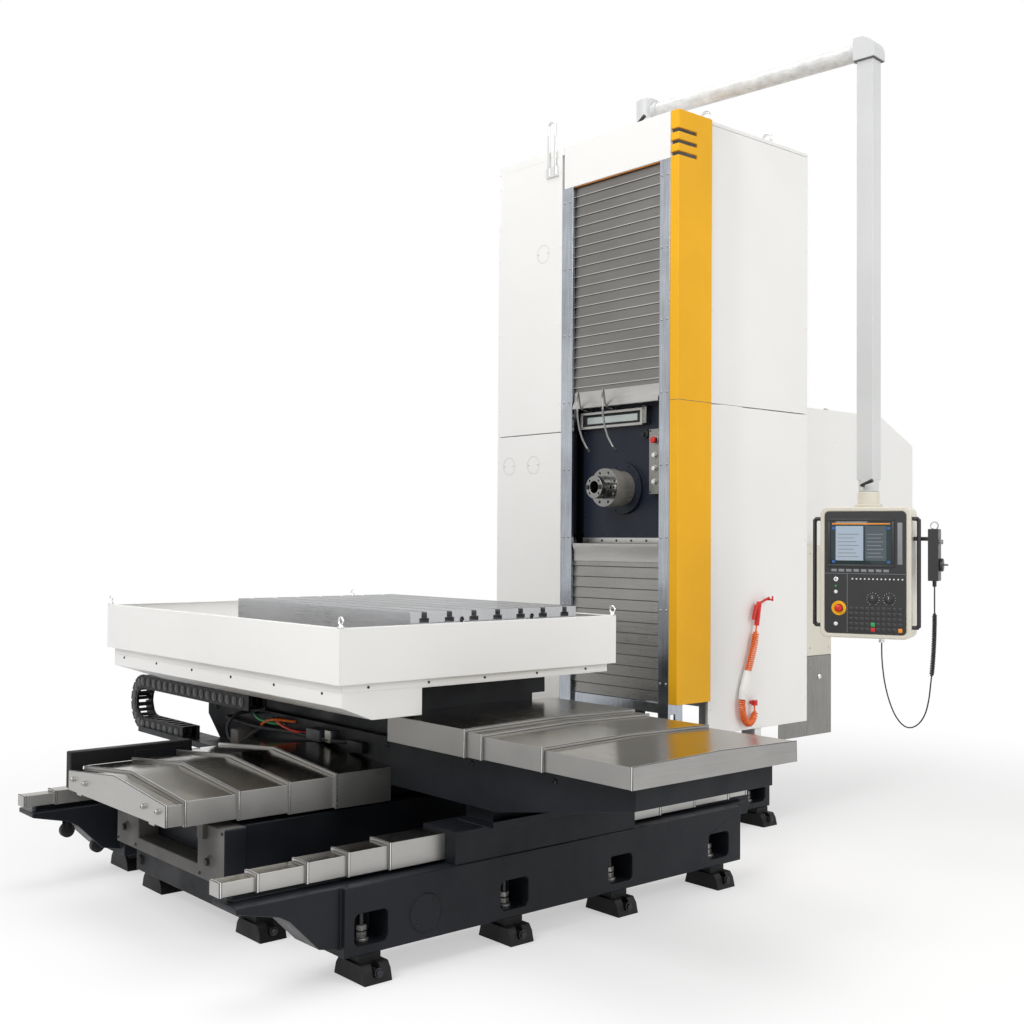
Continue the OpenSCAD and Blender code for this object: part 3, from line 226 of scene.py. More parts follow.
WHITE = (0.84, 0.835, 0.82)
CASTING = (0.010, 0.0115, 0.015)
STEEL = (0.44, 0.435, 0.42)
MATS = {
    "casting": cast_paint("casting_paint", CASTING),
    "end_frame": cast_paint("end_frame_paint", (0.105, 0.102, 0.096), 0.5),
    "ivory": paint("white_sheet_paint", WHITE, 0.42, 0.015),
    "navy": paint("navy_paint", (0.012, 0.016, 0.028), 0.36, 0.12, shine=0.22),
    "black": cast_paint("black_paint", (0.009, 0.009, 0.010), 0.5),
    "yellow": paint("yellow_paint", (0.86, 0.44, 0.012), 0.36, 0.05, shine=0.25),
    "cream": paint("cream_paint", (0.66, 0.63, 0.54), 0.42),
    "motor": paint("motor_paint", (0.05, 0.055, 0.065), 0.45),
    "steel_x": brushed("steel_brushed_x", STEEL, 0.40, 0, 0.16),
    "steel_y": brushed("steel_brushed_y", (0.33, 0.325, 0.315), 0.40, 1, 0.16),
    "steel_z": brushed("steel_brushed_z", (0.25, 0.245, 0.23), 0.30, 2, 0.3),
    "strip": brushed("strip_steel", (0.40, 0.425, 0.465), 0.20, 2, 0.4),
    "apron_upper": brushed("apron_upper_steel", (0.205, 0.198, 0.187), 0.36, 0, 0.14),
    "apron_lower": brushed("apron_lower_steel", (0.28, 0.277, 0.265), 0.30, 0, 0.2),
    "table_top": brushed("table_top_iron", (0.135, 0.137, 0.145), 0.26, 0, 0.2),
    # Cover tops: warm brown steel with strong streaks, a painted reflection on the faces that look up
    "cover_top": brushed("top_painted_reflection_steel", (0.27, 0.25, 0.215), 0.16, 0, 0.35),
    # Bright lines on the upper apron's slat edges: a painted highlight
    "slat_edge_highlight": brushed("slat_painted_highlight_steel", (0.50, 0.49, 0.475), 0.32, 0, 0.15),
    # Bright folded edge: a painted highlight on the fold of each cover segment
    "fold_highlight": brushed("folded_edge_painted_highlight", (0.80, 0.80, 0.80), 0.28, 0, 0.08),
    "post": paint("post_paint", (0.60, 0.61, 0.61), 0.4),
    "blue": plastic("blue_plastic", (0.03, 0.12, 0.42), 0.35),
    "mark": plastic("white_mark", (0.72, 0.72, 0.70), 0.5),
    "groove": plastic("groove_shade", (0.52, 0.51, 0.50), 0.6),
    # Dark lines: real seams between panels and on the pendant box, and painted shadow under the elbow, along
    # the cover hems and under the lower apron's slats
    "seam": plastic("seam_shadow", (0.10, 0.10, 0.10), 0.6),
    "machined": brushed("ground_iron", (0.46, 0.465, 0.48), 0.30, 0, 0.14),
    "turned": brushed("turned_steel", (0.24, 0.238, 0.232), 0.20, 1, 0.2),
    "drum": brushed("spindle_drum_steel", (0.42, 0.395, 0.35), 0.26, 1, 0.1, metal=0.5),
    "chrome": brushed("polished_steel", (0.78, 0.78, 0.77), 0.12, 2, 0.05, 0.05),
    "bolt": brushed("bolt_steel", (0.42, 0.41, 0.40), 0.36, 2, 0.2),
    "dark_bolt": brushed("blackened_bolt", (0.05, 0.05, 0.055), 0.45, 2, 0.2),
    "red": plastic("red_plastic", (0.62, 0.018, 0.012), 0.3),
    "orange": plastic("orange_hose", (0.83, 0.16, 0.025), 0.28, 0.05, Subsurface_Weight=0.15),
    "chain": plastic("chain_plastic", (0.010, 0.010, 0.011), 0.5, Specular_IOR_Level=0.22),
    "plastic": plastic("black_plastic", (0.018, 0.018, 0.02), 0.42),
    "rubber": plastic("black_rubber", (0.012, 0.012, 0.013), 0.62),
    "white_plastic": plastic("white_plastic", (0.78, 0.78, 0.76), 0.32),
    "grey_plastic": plastic("grey_plastic", (0.22, 0.23, 0.24), 0.4),
    "green": plastic("green_plastic", (0.03, 0.35, 0.10), 0.35),
    "key": plastic("key_plastic", (0.030, 0.030, 0.033), 0.4),
    "field": glow("screen_field", (0.30, 0.36, 0.43), 0.25),
    "field_dim": glow("screen_side_field", (0.055, 0.075, 0.085), 0.2),
    "amber": plastic("amber_plastic", (0.80, 0.28, 0.02), 0.35),
    "film": film("packing_film", (0.70, 0.70, 0.69)),
    "sleeve": plastic("hose_sleeve", (0.80, 0.79, 0.77), 0.3, 0.3),
    "lens": glow("lamp_lens", (0.42, 0.47, 0.45), 0.15, 0.2),
    "screen": plastic("screen_glass", (0.012, 0.03, 0.035), 0.08, 0.0),
    "dark": plastic("dark_inside", (0.01, 0.01, 0.011), 0.7),
}


# Mesh building; edges over the crease angle, in degrees, stay sharp
CREASE = 35


def circle(middle, x, y, r, sides):
    """Points round a middle, in the plane of x and y"""
    turns = [2 * pi * i / sides for i in range(sides)]
    return [middle + (x * cos(a) + y * sin(a)) * r for a in turns]


class Piece:
    """Gathers rounded shapes into one mesh, in part metres."""

    def __init__(self, name, place=Matrix.Identity(4)):
        self.name, self.place = name, place
        self.bm = bmesh.new()
        self.mats = []

    def index(self, mat):
        """Slot of a finish in this piece"""
        if mat not in self.mats:
            self.mats.append(mat)
        return self.mats.index(mat)

    def add(self, verts, faces, mat):
        """New points and faces in one finish"""
        made = [self.bm.verts.new(v) for v in verts]
        i = self.index(mat)
        for f in faces:
            self.bm.faces.new([made[k] for k in f]).material_index = i
        return made

    def block(self, low, high, mat, edge=0.002):
        """Box with rounded edges"""
        x, y, z = zip(low, high)
        corners = [(x[i], y[j], z[k]) for k in (0, 1) for j in (0, 1) for i in (0, 1)]
        sides = [(0, 2, 3, 1), (4, 5, 7, 6), (0, 1, 5, 4), (2, 6, 7, 3), (0, 4, 6, 2), (1, 3, 7, 5)]
        made = self.add(corners, sides, mat)
        if edge:
            edges = {e for v in made for e in v.link_edges}
            bmesh.ops.bevel(self.bm, geom=list(edges), offset=edge, segments=2, material=-1,
                            affect="EDGES", profile=0.5)

    def skin(self, rows, mat, loop=False):
        """Faces between rows of points, with end caps or closed to a loop"""
        n, sides = len(rows), len(rows[0])
        faces = []
        for j in range(n if loop else n - 1):
            a, b = j * sides, (j + 1) % n * sides
            for i in range(sides):
                k = (i + 1) % sides
                faces.append((a + i, a + k, b + k, b + i))
        if not loop:
            faces.append(tuple(reversed(range(sides))))
            faces.append(tuple((n - 1) * sides + i for i in range(sides)))
        self.add([v for row in rows for v in row], faces, mat)

    def lathe(self, profile, base, axis, mat, sides=24, loop=False):
        """Turned shape: profile of (radius, height) along the axis from the base"""
        z = Vector(axis).normalized()
        x = z.orthogonal().normalized()
        self.skin([circle(Vector(base) + z * h, x, z.cross(x), r, sides) for r, h in profile], mat, loop)

    def rod(self, a, b, r, mat, edge=0.0015, sides=24):
        """Rod with eased ends"""
        a, b = Vector(a), Vector(b)
        h = (b - a).length
        e = min(edge, r / 2, h / 3)
        self.lathe([(r - e, 0), (r, e), (r, h - e), (r - e, h)], a, b - a, mat, sides)

    def screw(self, at, axis, d, mat="dark_bolt"):
        """Button head with a sunk socket"""
        r, h = d / 2, d * 0.32
        self.lathe([(r * 0.97, -0.0005), (r, h * 0.3), (r * 0.86, h * 0.75), (r * 0.6, h), (r * 0.45, h),
                    (r * 0.4, h * 0.25)], at, axis, mat, 16)

    def screws(self, xs, ys, zs, axis, d, mat="dark_bolt"):
        """Button heads wherever the places along X, Y and Z cross"""
        for at in product(xs, ys, zs):
            self.screw(at, axis, d, mat)

    def hex_bolt(self, at, axis, d):
        """Hexagon head on a washer"""
        washer = [(d * 0.62, -0.0005), (d * 0.62, d * 0.1), (d * 0.58, d * 0.12)]
        self.lathe(washer, at, axis, "dark_bolt", 20)
        seat = Vector(at) + Vector(axis).normalized() * d * 0.1
        self.lathe([(d * 0.5, 0), (d * 0.5, d * 0.3), (d * 0.44, d * 0.36)], seat, axis, "dark_bolt", 6)

    def sweep(self, points, r, mat, sides=12):
        """Round tube along points, with closed ends"""
        pts = [Vector(p) for p in points]
        rows = []
        side = None
        for i, p in enumerate(pts):
            t = (pts[min(i + 1, len(pts) - 1)] - pts[max(i - 1, 0)]).normalized()
            side = t.orthogonal().normalized() if side is None else (side - t * side.dot(t)).normalized()
            rows.append(circle(p, side, t.cross(side), r, sides))
        self.skin(rows, mat)

    def band(self, outline, y0, y1, t, mat):
        """Strip of thickness t that lies on an open outline of (x, z) points, from y0 to y1"""
        flat = [Vector((x, 0, z)) for x, z in outline]
        out = []
        for i, p in enumerate(flat):
            d = (flat[min(i + 1, len(flat) - 1)] - flat[max(i - 1, 0)]).normalized()
            out.append(p + Vector((-d.z, 0, d.x)) * t)
        n = len(flat)
        ring = [(p.x, y, p.z) for p in flat + out for y in (y0, y1)]
        o = 2 * n
        faces = []
        for i in range(n - 1):
            a, b = 2 * i, 2 * i + 2
            faces += [(a, b, b + 1, a + 1), (o + a, o + a + 1, o + b + 1, o + b),
                      (a, o + a, o + b, b), (a + 1, b + 1, o + b + 1, o + a + 1)]
        faces += [(0, 1, o + 1, o), (2 * n - 2, o + 2 * n - 2, o + 2 * n - 1, 2 * n - 1)]
        self.add(ring, faces, mat)

    def ring(self, at, axis, inner, outer, h, mat):
        """Flat ring with an open middle"""
        rows = [(inner, 0), (outer, 0), (outer, h * 0.7), (outer - h * 0.3, h), (inner, h)]
        self.lathe(rows, at, axis, mat, 28, loop=True)

    def prism(self, outline, x0, x1, mat):
        """Closed outline of (y, z) points drawn out along X"""
        n = len(outline)
        verts = [(x, y, z) for x in (x0, x1) for y, z in outline]
        faces = [(i, (i + 1) % n, n + (i + 1) % n, n + i) for i in range(n)]
        self.add(verts, faces + [tuple(range(n)), tuple(range(2 * n - 1, n - 1, -1))], mat)

    def eyebolt(self, at, d):
        """Ring bolt standing on a flat face"""
        foot = [(d * 0.5, 0), (d * 0.5, d * 0.12), (d * 0.32, d * 0.2), (d * 0.2, d * 0.5)]
        self.lathe(foot, at, UP, "chrome", 20)
        mid = Vector(at) + Vector((0, 0, d * 0.85))
        turns = [2 * pi * i / 24 for i in range(25)]
        loop = [mid + Vector((cos(a), 0, sin(a))) * d * 0.45 for a in turns]
        self.sweep(loop, d * 0.12, "chrome", 10)

    def done(self, body, slot, *nodes):
        """Turn the gathered shapes into a piece of the scene"""
        self.bm.transform(self.place)
        bmesh.ops.recalc_face_normals(self.bm, faces=self.bm.faces)
        mesh = bpy.data.meshes.new(self.name)
        self.bm.to_mesh(mesh)
        self.bm.free()
        for m in self.mats:
            mesh.materials.append(MATS[m])
        return settle(bpy.data.objects.new(self.name, mesh), body, nodes)


def smooth_route(points, per=8):
    """Catmull-Rom curve through the points"""
    p = [Vector(q) for q in points]
    p = [p[0] * 2 - p[1]] + p + [p[-1] * 2 - p[-2]]
    out = []
    for i in range(1, len(p) - 2):
        for k in range(per):
            t = k / per
            slope = p[i + 1] - p[i - 1]
            square = 2 * p[i - 1] - 5 * p[i] + 4 * p[i + 1] - p[i + 2]
            cube = 3 * p[i] - p[i - 1] - 3 * p[i + 1] + p[i + 2]
            out.append(0.5 * (2 * p[i] + slope * t + square * t * t + cube * t ** 3))
    return out + [p[-2]]


def settle(obj, body, nodes=(), smooth=CREASE):
    """Shade a piece, link it, hang it on the body it rides on and hide the nodes it stands for"""
    obj.data.shade_smooth()
    obj.data.set_sharp_from_angle(angle=radians(smooth))
    scene.collection.objects.link(obj)
    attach(obj, body)
    if nodes:
        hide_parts(*nodes)
    return obj


def zone(mat, x=(-9, 9), y=(-9, 9), z=(-9, 9), place=MACHINE, up=(-2, 2)):
    """Finish of the faces whose middle lies in a box and whose normal rises within the limits"""
    return mat, list(zip(x, y, z)), place.inverted(), up


# Middle of an edge that the real piece has rounder, and its radius
ROUNDED = {"pendant_arm": (AT_ARM @ Vector((1.497, 0, 4.26)), 0.088)}


def dressed(node, mat, edge, *zones):
    """A node's own form with eased edges, in its finish"""
    mesh = frame["nodes"][node].data.copy()
    mesh.name = node + "_skin"
    bm = bmesh.new()
    bm.from_mesh(mesh)
    bmesh.ops.remove_doubles(bm, verts=bm.verts, dist=1e-5)
    bmesh.ops.dissolve_limit(bm, angle_limit=radians(0.6), verts=bm.verts, edges=bm.edges)
    if node in ROUNDED:
        middle, radius = ROUNDED[node]
        corner = [e for e in bm.edges if ((e.verts[0].co + e.verts[1].co) / 2 - middle).length < 0.005]
        bmesh.ops.bevel(bm, geom=corner, offset=radius, segments=12, material=-1, affect="EDGES", profile=0.5)
    bm.to_mesh(mesh)
    bm.free()
    obj = bpy.data.objects.new(node + "_skin", mesh)
    if edge:
        mesh.shade_smooth()
        scene.collection.objects.link(obj)
        bevel = obj.modifiers.new("edge", "BEVEL")
        bevel.width, bevel.segments, bevel.limit_method = edge, 2, "ANGLE"
        bevel.angle_limit, bevel.use_clamp_overlap = radians(CREASE), False
        flat = obj.modifiers.new("flat", "WEIGHTED_NORMAL")
        flat.weight, flat.keep_sharp = 90, False
        bpy.context.view_layer.update()
        done = obj.evaluated_get(bpy.context.evaluated_depsgraph_get())
        obj.data = bpy.data.meshes.new_from_object(done)
        obj.data.name = node + "_skin"
        obj.modifiers.clear()
        scene.collection.objects.unlink(obj)
    obj.data.materials.clear()
    for name in [mat] + [z[0] for z in zones]:
        obj.data.materials.append(MATS[name])
    for face in obj.data.polygons:
        face.material_index = 0
        for i, (_, (low, high), back, up) in enumerate(zones):
            c = back @ face.center
            if all(low[k] <= c[k] <= high[k] for k in range(3)) and up[0] <= face.normal.z <= up[1]:
                face.material_index = i + 1
    return settle(obj, body_of[node], [node], 180 if edge else CREASE)


# Finishes of the nodes
COVER_EDGE = 0.0012
# Faces of the covers that look up take the painted reflection
TOP_REFLECTION_ZONE = zone("cover_top", up=(0.5, 1.1))
BED_COVER = ("steel_x", COVER_EDGE, TOP_REFLECTION_ZONE)
CROSS_COVER = ("steel_y", COVER_EDGE, TOP_REFLECTION_ZONE)
END_Y, END_Z = (-2.77, -2.651), (0.24, 0.49)
SCREWS = ("z_screw", "x_screw", "y_screw")
# Node, finish, eased edge and the zones with a finish of their own
SKINS = {
    "bed": ("casting", 0.006, zone("end_frame", y=END_Y, z=END_Z),
            zone("casting", x=(0.535, 0.56), y=END_Y, z=END_Z),
            zone("black", x=(-0.61, -0.541), z=(0.425, 0.7))),
    "outriggers": ("casting", 0.005),
    "levelling_feet": ("black", 0.003),
    "saddle": ("casting", 0.0015),
    "cross_slide": ("casting", 0.004),
    "column": ("casting", 0.004),
    **dict.fromkeys(("z_drive", "x_drive", "y_drive"), ("motor", 0.003)),
    "spindle_drive": ("motor", 0.004),
    **dict.fromkeys(SCREWS, ("turned", 0.002)),
    "column_front_panel": ("ivory", 0.002),
    "column_side_panels": ("ivory", 0.003),
    "top_cover": ("ivory", 0.002),
    "corner_trim": ("yellow", 0.004),
    "guide_strips": ("strip", 0.002),
    "lifting_eyes": ("chrome", 0),
    "rear_trunk": ("steel_z", 0.003, zone("cream", z=(0.955, 1.7))),
    "z_cover_ends": BED_COVER + (zone("end_frame", x=(-0.45, 0.45), y=(-2.9, -2.7), z=(0.3, 0.575)),),
    "z_cover_saddle": BED_COVER,
    **dict.fromkeys(("x_cover_ends", "x_cover_2", "x_cover_3", "x_cover_inner"), CROSS_COVER),
    **dict.fromkeys(("z_front_cover_2", "z_front_cover_3", "z_front_cover_4"), BED_COVER),
    **dict.fromkeys(("z_rear_cover_2", "z_rear_cover_3"), BED_COVER),
    "cable_chain": ("chain", 0.0015),
    "table": ("machined", 0.0025, zone("table_top", z=(1.33, 1.36), up=(0.9, 1.1))),
    "tray": ("ivory", 0.0012),
    "headstock": ("navy", 0.003, zone("steel_z", x=(0.23, 0.324), y=(0.04, 0.0935), z=(1.91, 2.29))),
    "work_lamp": ("steel_x", 0.002),
    "coolant_nozzles": ("turned", 0),
    "tail_hood": ("ivory", 0.0015),
    "milling_spindle": ("turned", 0.002, zone("drum", y=(-0.065, 0.7))),
    "boring_bar": ("turned", 0.002),
    "arm_base": ("ivory", 0.002),
    "arm_lever": ("plastic", 0.002),
    "pendant_arm": ("post", 0.003, zone("film", x=(0.07, 1.375), z=(4.15, 4.25), place=AT_ARM)),
    "pendant_box": ("cream", 0.006, zone("plastic", x=(-0.4, -0.2262), place=AT_PENDANT),
                    zone("plastic", x=(0.2262, 0.4), place=AT_PENDANT)),
    "pendant_panel": ("plastic", 0.001),
    "swivel_lever": ("plastic", 0.002),
    "handwheel_unit": ("plastic", 0.004),
    "air_gun": ("red", 0.002),
}
skins = {node: dressed(node, *look) for node, look in SKINS.items()}
# The screws turn in their nuts with a little air round the facets
SCREW_AIR = 0.0005
for node in SCREWS:
    for vert in skins[node].data.vertices:
        vert.co -= vert.normal * SCREW_AIR

# Slatted aprons between the column and the headstock
SLAT_LIFT, APRON_HALF, APRON_FACE = 0.006, 0.378, 0.0203
UPPER_LINE, LOWER_LINE = 0.005, 0.006


def apron(node, fixed, moving, count, sheet, line, rise, depth):
    """Apron from its fixed to its moving height, with a painted line along the edge of each slat: a painted
    highlight on the upper apron, a painted shadow on the lower
    """
    bm = bmesh.new()
    bm.from_mesh(frame["nodes"][node].data)
    for face in bm.faces:
        face.material_index = 0
    pitch = abs(moving - fixed) / count
    for i in range(count):
        z = min(fixed, moving) + pitch * (i if rise > 0 else i + 1)
        low, high = sorted((z, z + rise))
        corners = [(-APRON_HALF, low), (APRON_HALF, low), (APRON_HALF, high), (-APRON_HALF, high)]
        places = [MACHINE @ Vector((x, APRON_FACE + depth, h)) for x, h in corners]
        bm.faces.new([bm.verts.new(at) for at in places]).material_index = 1
    mesh = bpy.data.meshes.new(node + "_slats")
    bm.to_mesh(mesh)
    bm.free()
    mesh.materials.append(MATS[sheet])
    mesh.materials.append(MATS[line])
    obj = bpy.data.objects.new(node + "_slats", mesh)
    scene.collection.objects.link(obj)
    mesh.shade_flat()
    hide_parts(node)
    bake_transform(obj)


# Upper apron: a painted highlight along each slat edge; lower apron: a painted shadow under each slat
apron("upper_apron", 3.782, 2.442, 22, "apron_upper", "slat_edge_highlight", UPPER_LINE, -0.0004)
apron("lower_apron", 0.750, 1.628, 14, "apron_lower", "seam", -LOWER_LINE, SLAT_LIFT - 0.0014)

# Column: screws, seams, cover discs and the parts seen from behind
FAR_X, NEAR_X = [corner.x for corner in box_of("column_side_panels")]
PANEL_SCREW, STRIP_SCREW = 0.010, 0.014
PANEL_ZS = (0.70, 1.18, 1.66, 2.14, 2.48, 2.96, 3.44, 3.9)
STRIP_ZS = [0.86 + 0.405 * i for i in range(8)]
DISC_R, DISC_SCREW_X = 0.0535, 0.042
COVER_DISCS = ((-0.93, 2.116), (-0.70, 2.116), (-0.62, 3.42))
SEAM_HALF = 0.0004
LOUVRES, LOUVRE_PITCH = 12, 0.032
fit = Piece("column_fittings", MACHINE)
for x, z in COVER_DISCS:
    fit.ring((x, 0.0002, z), FRONT, DISC_R + 0.001, DISC_R + 0.0027, 0.0006, "groove")
    fit.rod((x, 0.0019, z), (x, 0.0004, z), DISC_R, "ivory", edge=0.0005, sides=40)
    for side in (-1, 1):
        fit.screw((x + side * DISC_SCREW_X, 0.0004, z), FRONT, 0.008, "bolt")
fit.block((-0.352, 0.008, 3.780), (0.350, 0.0195, 3.7838), "amber", 0.001)
fit.screws((-0.425, -0.379, 0.368, 0.411), [0], STRIP_ZS, FRONT, STRIP_SCREW, "bolt")
fit.screws((-1.03, -0.468), [0], PANEL_ZS, FRONT, PANEL_SCREW, "ivory")
fit.screws([NEAR_X], (0.31, 1.185), PANEL_ZS, NEAR, PANEL_SCREW, "ivory")
fit.block((0.4288, -SEAM_HALF, 2.4305), (0.4914, 0.2854, 2.4330), "seam", 0)
for i in range(LOUVRES):
    for x in (-0.97, -0.68):
        low = 1.30 + LOUVRE_PITCH * i
        fit.block((x, 1.209, low), (x + 0.24, 1.217, low + 0.014), "ivory", 0.004)
for y in (0.20, 0.62, 1.04):
    fit.block((FAR_X - SEAM_HALF, y, 0.75), (FAR_X + SEAM_HALF, y + 0.002, 3.55), "seam", 0)
for y in (0.57, 0.67):
    fit.block((-1.075, y - 0.008, 1.55), (-1.060, y + 0.008, 1.75), "plastic", 0.005)
    for z in (1.56, 1.74):
        fit.rod((-1.062, y, z), (FAR_X + 0.001, y, z), 0.006, "plastic", sides=12)
LOCK = [(0.015, 0), (0.015, 0.004), (0.011, 0.007), (0.005, 0.007), (0.004, 0.003)]
fit.lathe(LOCK, (NEAR_X, 1.335, 0.82), NEAR, "chrome")
fit.screws([NEAR_X], (1.24, 1.43), (0.52, 0.90, 1.0, 1.58), NEAR, PANEL_SCREW, "bolt")
fit.done("base", "ivory")

# Headstock front: lamp, button plate, edge strip, flared slats, hose ends
LEDGE_LEFT, LEDGE_RIGHT, LEDGE_FRONT, LEDGE_BACK = -0.347, 0.345, 0.0206, 0.0936
LAMP_X, LAMP_Y = 0.188, 0.052
BUTTON_X, PLATE_Y = middle_of("headstock_stop").x, box_of("headstock")[0].y
STOP_R, PUSH_R = 0.020, 0.013
BUTTONS = ("headstock_stop", "start_button", "hold_button", "jog_button")
FLANGE_BOLT_R, FLANGE_BOLTS = 0.136, 8
FOOT_XS = [-0.30 + 0.12 * i for i in range(6)]
FLARE_TOP = [(0.0185, 2.536), (0.0155, 2.536), (0.0155, 2.490), (-0.002, 2.452), (-0.002, 2.437),
             (0.001, 2.437), (0.001, 2.450), (0.0185, 2.489)]
FLARE_LOW = [(0.0185, 1.530), (0.0155, 1.530), (0.0155, 1.590), (0.006, 1.612), (0.006, 1.633),
             (0.009, 1.633), (0.009, 1.614), (0.0185, 1.591)]
head = Piece("headstock_fittings", MACHINE)
head.block((-0.320, 0.074, 2.334), (0.150, 0.081, 2.398), "dark", 0.001)
head.block((-0.292, 0.070, 2.346), (0.118, 0.0745, 2.386), "lens", 0.002)
head.block((LAMP_X - 0.018, LAMP_Y, 2.322), (LAMP_X + 0.018, HEAD_Y, 2.424), "steel_z", 0.004)
head.screws([LAMP_X], [LAMP_Y], (2.345, 2.40), FRONT, 0.014, "bolt")
GLAND = [(0.024, 0), (0.024, 0.01), (0.016, 0.014), (0.010, 0.03)]
head.lathe(GLAND, (0.165, HEAD_Y, 2.262), FRONT, "rubber")
head.block((-0.343, 0.086, 1.634), (0.339, 0.0945, 1.668), "steel_x", 0.0015)
for low in (HEAD_LOW - 0.0014, HEAD_TOP - 0.0016):
    head.block((LEDGE_LEFT, LEDGE_FRONT, low), (LEDGE_RIGHT, LEDGE_BACK, low + 0.003), "steel_x", 0.0005)
head.screws(FOOT_XS, [0.086], [1.651], FRONT, 0.014)
head.screws(FOOT_XS, [HEAD_Y], [1.69], FRONT, 0.010)
for flare in (FLARE_TOP, FLARE_LOW):
    head.prism(flare, LEDGE_LEFT, LEDGE_RIGHT, "steel_x")
for node in BUTTONS:
    radius = STOP_R if node == "headstock_stop" else PUSH_R
    at = (BUTTON_X, PLATE_Y, middle_of(node).z)
    head.ring(at, FRONT, radius + 0.0007, radius + 0.006, 0.004, "bolt")
head.screws((BUTTON_X - 0.034, BUTTON_X + 0.034), [PLATE_Y], (1.926, 2.274), FRONT, 0.011)
for i in range(FLANGE_BOLTS):
    a = 2 * pi * (i + 0.5) / FLANGE_BOLTS
    at = (FLANGE_BOLT_R * cos(a), 0.070, AXIS_Z + FLANGE_BOLT_R * sin(a))
    head.screw(at, FRONT, 0.014)
for x in (-0.27, -0.06):
    head.rod((x, HEAD_Y, 2.426), (x, 0.068, 2.426), 0.0085, "bolt", sides=6)
    head.rod((x + 0.147, -0.0908, 2.183), (x + 0.169, -0.0923, 2.161), 0.0076, "dark", sides=14)
for x, z in ((-0.33, 2.30), (-0.33, 1.80), (0.327, 1.80), (0.327, 2.36)):
    head.screw((x, HEAD_Y, z), FRONT, 0.014)
head.done("headstock", "navy")

# Hood: screws, louvres of its end and ring bolts
HOOD_MIDDLE, LOUVRE_HALF = middle_of("tail_hood").x, 0.21
low, high = box_of("tail_hood")
hood = Piece("hood_fittings", MACHINE)
for x, out in ((high.x, 1), (low.x, -1)):
    hood.screws([x], (1.24, 1.68, 2.12, 2.57), (1.67, 2.29), (out, 0, 0), 0.010, "ivory")
for i in range(9):
    z = 1.80 + 0.04 * i
    hood.block((HOOD_MIDDLE - LOUVRE_HALF, high.y - 0.001, z),
               (HOOD_MIDDLE + LOUVRE_HALF, high.y + 0.006, z + 0.018), "ivory", 0.003)
for y in (1.40, 2.05):
    hood.eyebolt((HOOD_MIDDLE, y, high.z), 0.05)
hood.done("headstock", "ivory")

# Driving keys on the flange and the bar
NOSE_Y, NOSE_KEY, BAR_KEY = -0.090, 0.0127, 0.0125
nose, bar = Piece("flange_keys", MACHINE), Piece("bar_keys", MACHINE)
for side in (-1, 1):
    low, high = sorted((side * 0.073, side * 0.106))
    nose.block((low, NOSE_Y, AXIS_Z - NOSE_KEY), (high, -0.079, AXIS_Z + NOSE_KEY), "bolt", 0.0015)
    nose.screw((side * 0.0895, NOSE_Y, AXIS_Z), FRONT, 0.013)
    low, high = sorted((side * 0.041, side * 0.061))
    bar.block((low, -0.168, AXIS_Z - BAR_KEY), (high, -0.159, AXIS_Z + BAR_KEY), "dark_bolt", 0.0012)
nose.done("spindle", "steel")
bar.done("bar", "steel")

# Push buttons and dials, turned to their own forms
STEM = [(0.008, 0), (0.008, 0.026)]
PUSH_CAP = [(0.013, 0.0262), (0.013, 0.033), (0.0115, 0.0355), (0.006, 0.036)]
STOP_CAP = [(0.013, 0.0262), (0.013, 0.030), (0.0195, 0.032), (0.0200, 0.036), (0.0175, 0.041),
            (0.011, 0.0438)]
PENDANT_CAP = [(0.008, 0), (0.008, 0.0278), (0.013, 0.028), (0.013, 0.032), (0.0195, 0.034), (0.020, 0.038),
               (0.0175, 0.043), (0.011, 0.046)]
KNOB = [(0.008, 0), (0.008, 0.0308), (0.020, 0.031), (0.020, 0.035), (0.0155, 0.0365), (0.0145, 0.048),
        (0.0125, 0.050)]
DISC = [(0.005, 0), (0.005, 0.0298), (0.030, 0.030), (0.033, 0.033), (0.033, 0.044), (0.030, 0.047),
        (0.016, 0.0472)]
PENDANT_STOP = (-0.13, 1.315)
DIAL_XS, DIAL_Z = {"feed_dial": 0.04, "speed_dial": 0.12}, 1.365
WHEEL_Y, WHEEL_Z, MARK_R, MARKS = -0.005, 1.54, 0.026, 20
for node in BUTTONS:
    cap, mat = (STOP_CAP, "red") if node == "headstock_stop" else (PUSH_CAP, "white_plastic")
    button = Piece(node + "_cap", MACHINE)
    button.lathe(STEM + cap, (BUTTON_X, box_of(node)[1].y, middle_of(node).z), FRONT, mat, 28)
    button.done(body_of[node], slot_of[node], node)
stop = Piece("pendant_stop_cap", AT_PENDANT)
stop.lathe(PENDANT_CAP, (PENDANT_STOP[0], -0.08, PENDANT_STOP[1]), FRONT, "red", 28)
stop.done("pendant_stop", "red", "pendant_stop")
for node, x in DIAL_XS.items():
    dial = Piece(node + "_knob", AT_PENDANT)
    dial.lathe(KNOB, (x, -0.07, DIAL_Z), FRONT, "plastic", 22)
    dial.block((x - 0.0012, -0.1206, DIAL_Z + 0.002), (x + 0.0012, -0.1196, DIAL_Z + 0.013), "mark", 0)
    dial.done(node, slot_of[node], node)
wheel = Piece("handwheel_disc", AT_PENDANT)
wheel.lathe(DISC, (0.320, WHEEL_Y, WHEEL_Z), NEAR, "plastic", 36)
wheel.rod((0.366, 0.017, WHEEL_Z), (0.387, 0.017, WHEEL_Z), 0.005, "grey_plastic", sides=16)
for i in range(MARKS):
    a = 2 * pi * i / MARKS
    if i != MARKS // 4:
        y, z = WHEEL_Y + MARK_R * sin(a), WHEEL_Z + MARK_R * cos(a)
        wheel.block((0.3668, y - 0.0006, z - 0.0006), (0.3675, y + 0.0006, z + 0.0006), "mark", 0)
wheel.done("handwheel", "plastic", "handwheel")

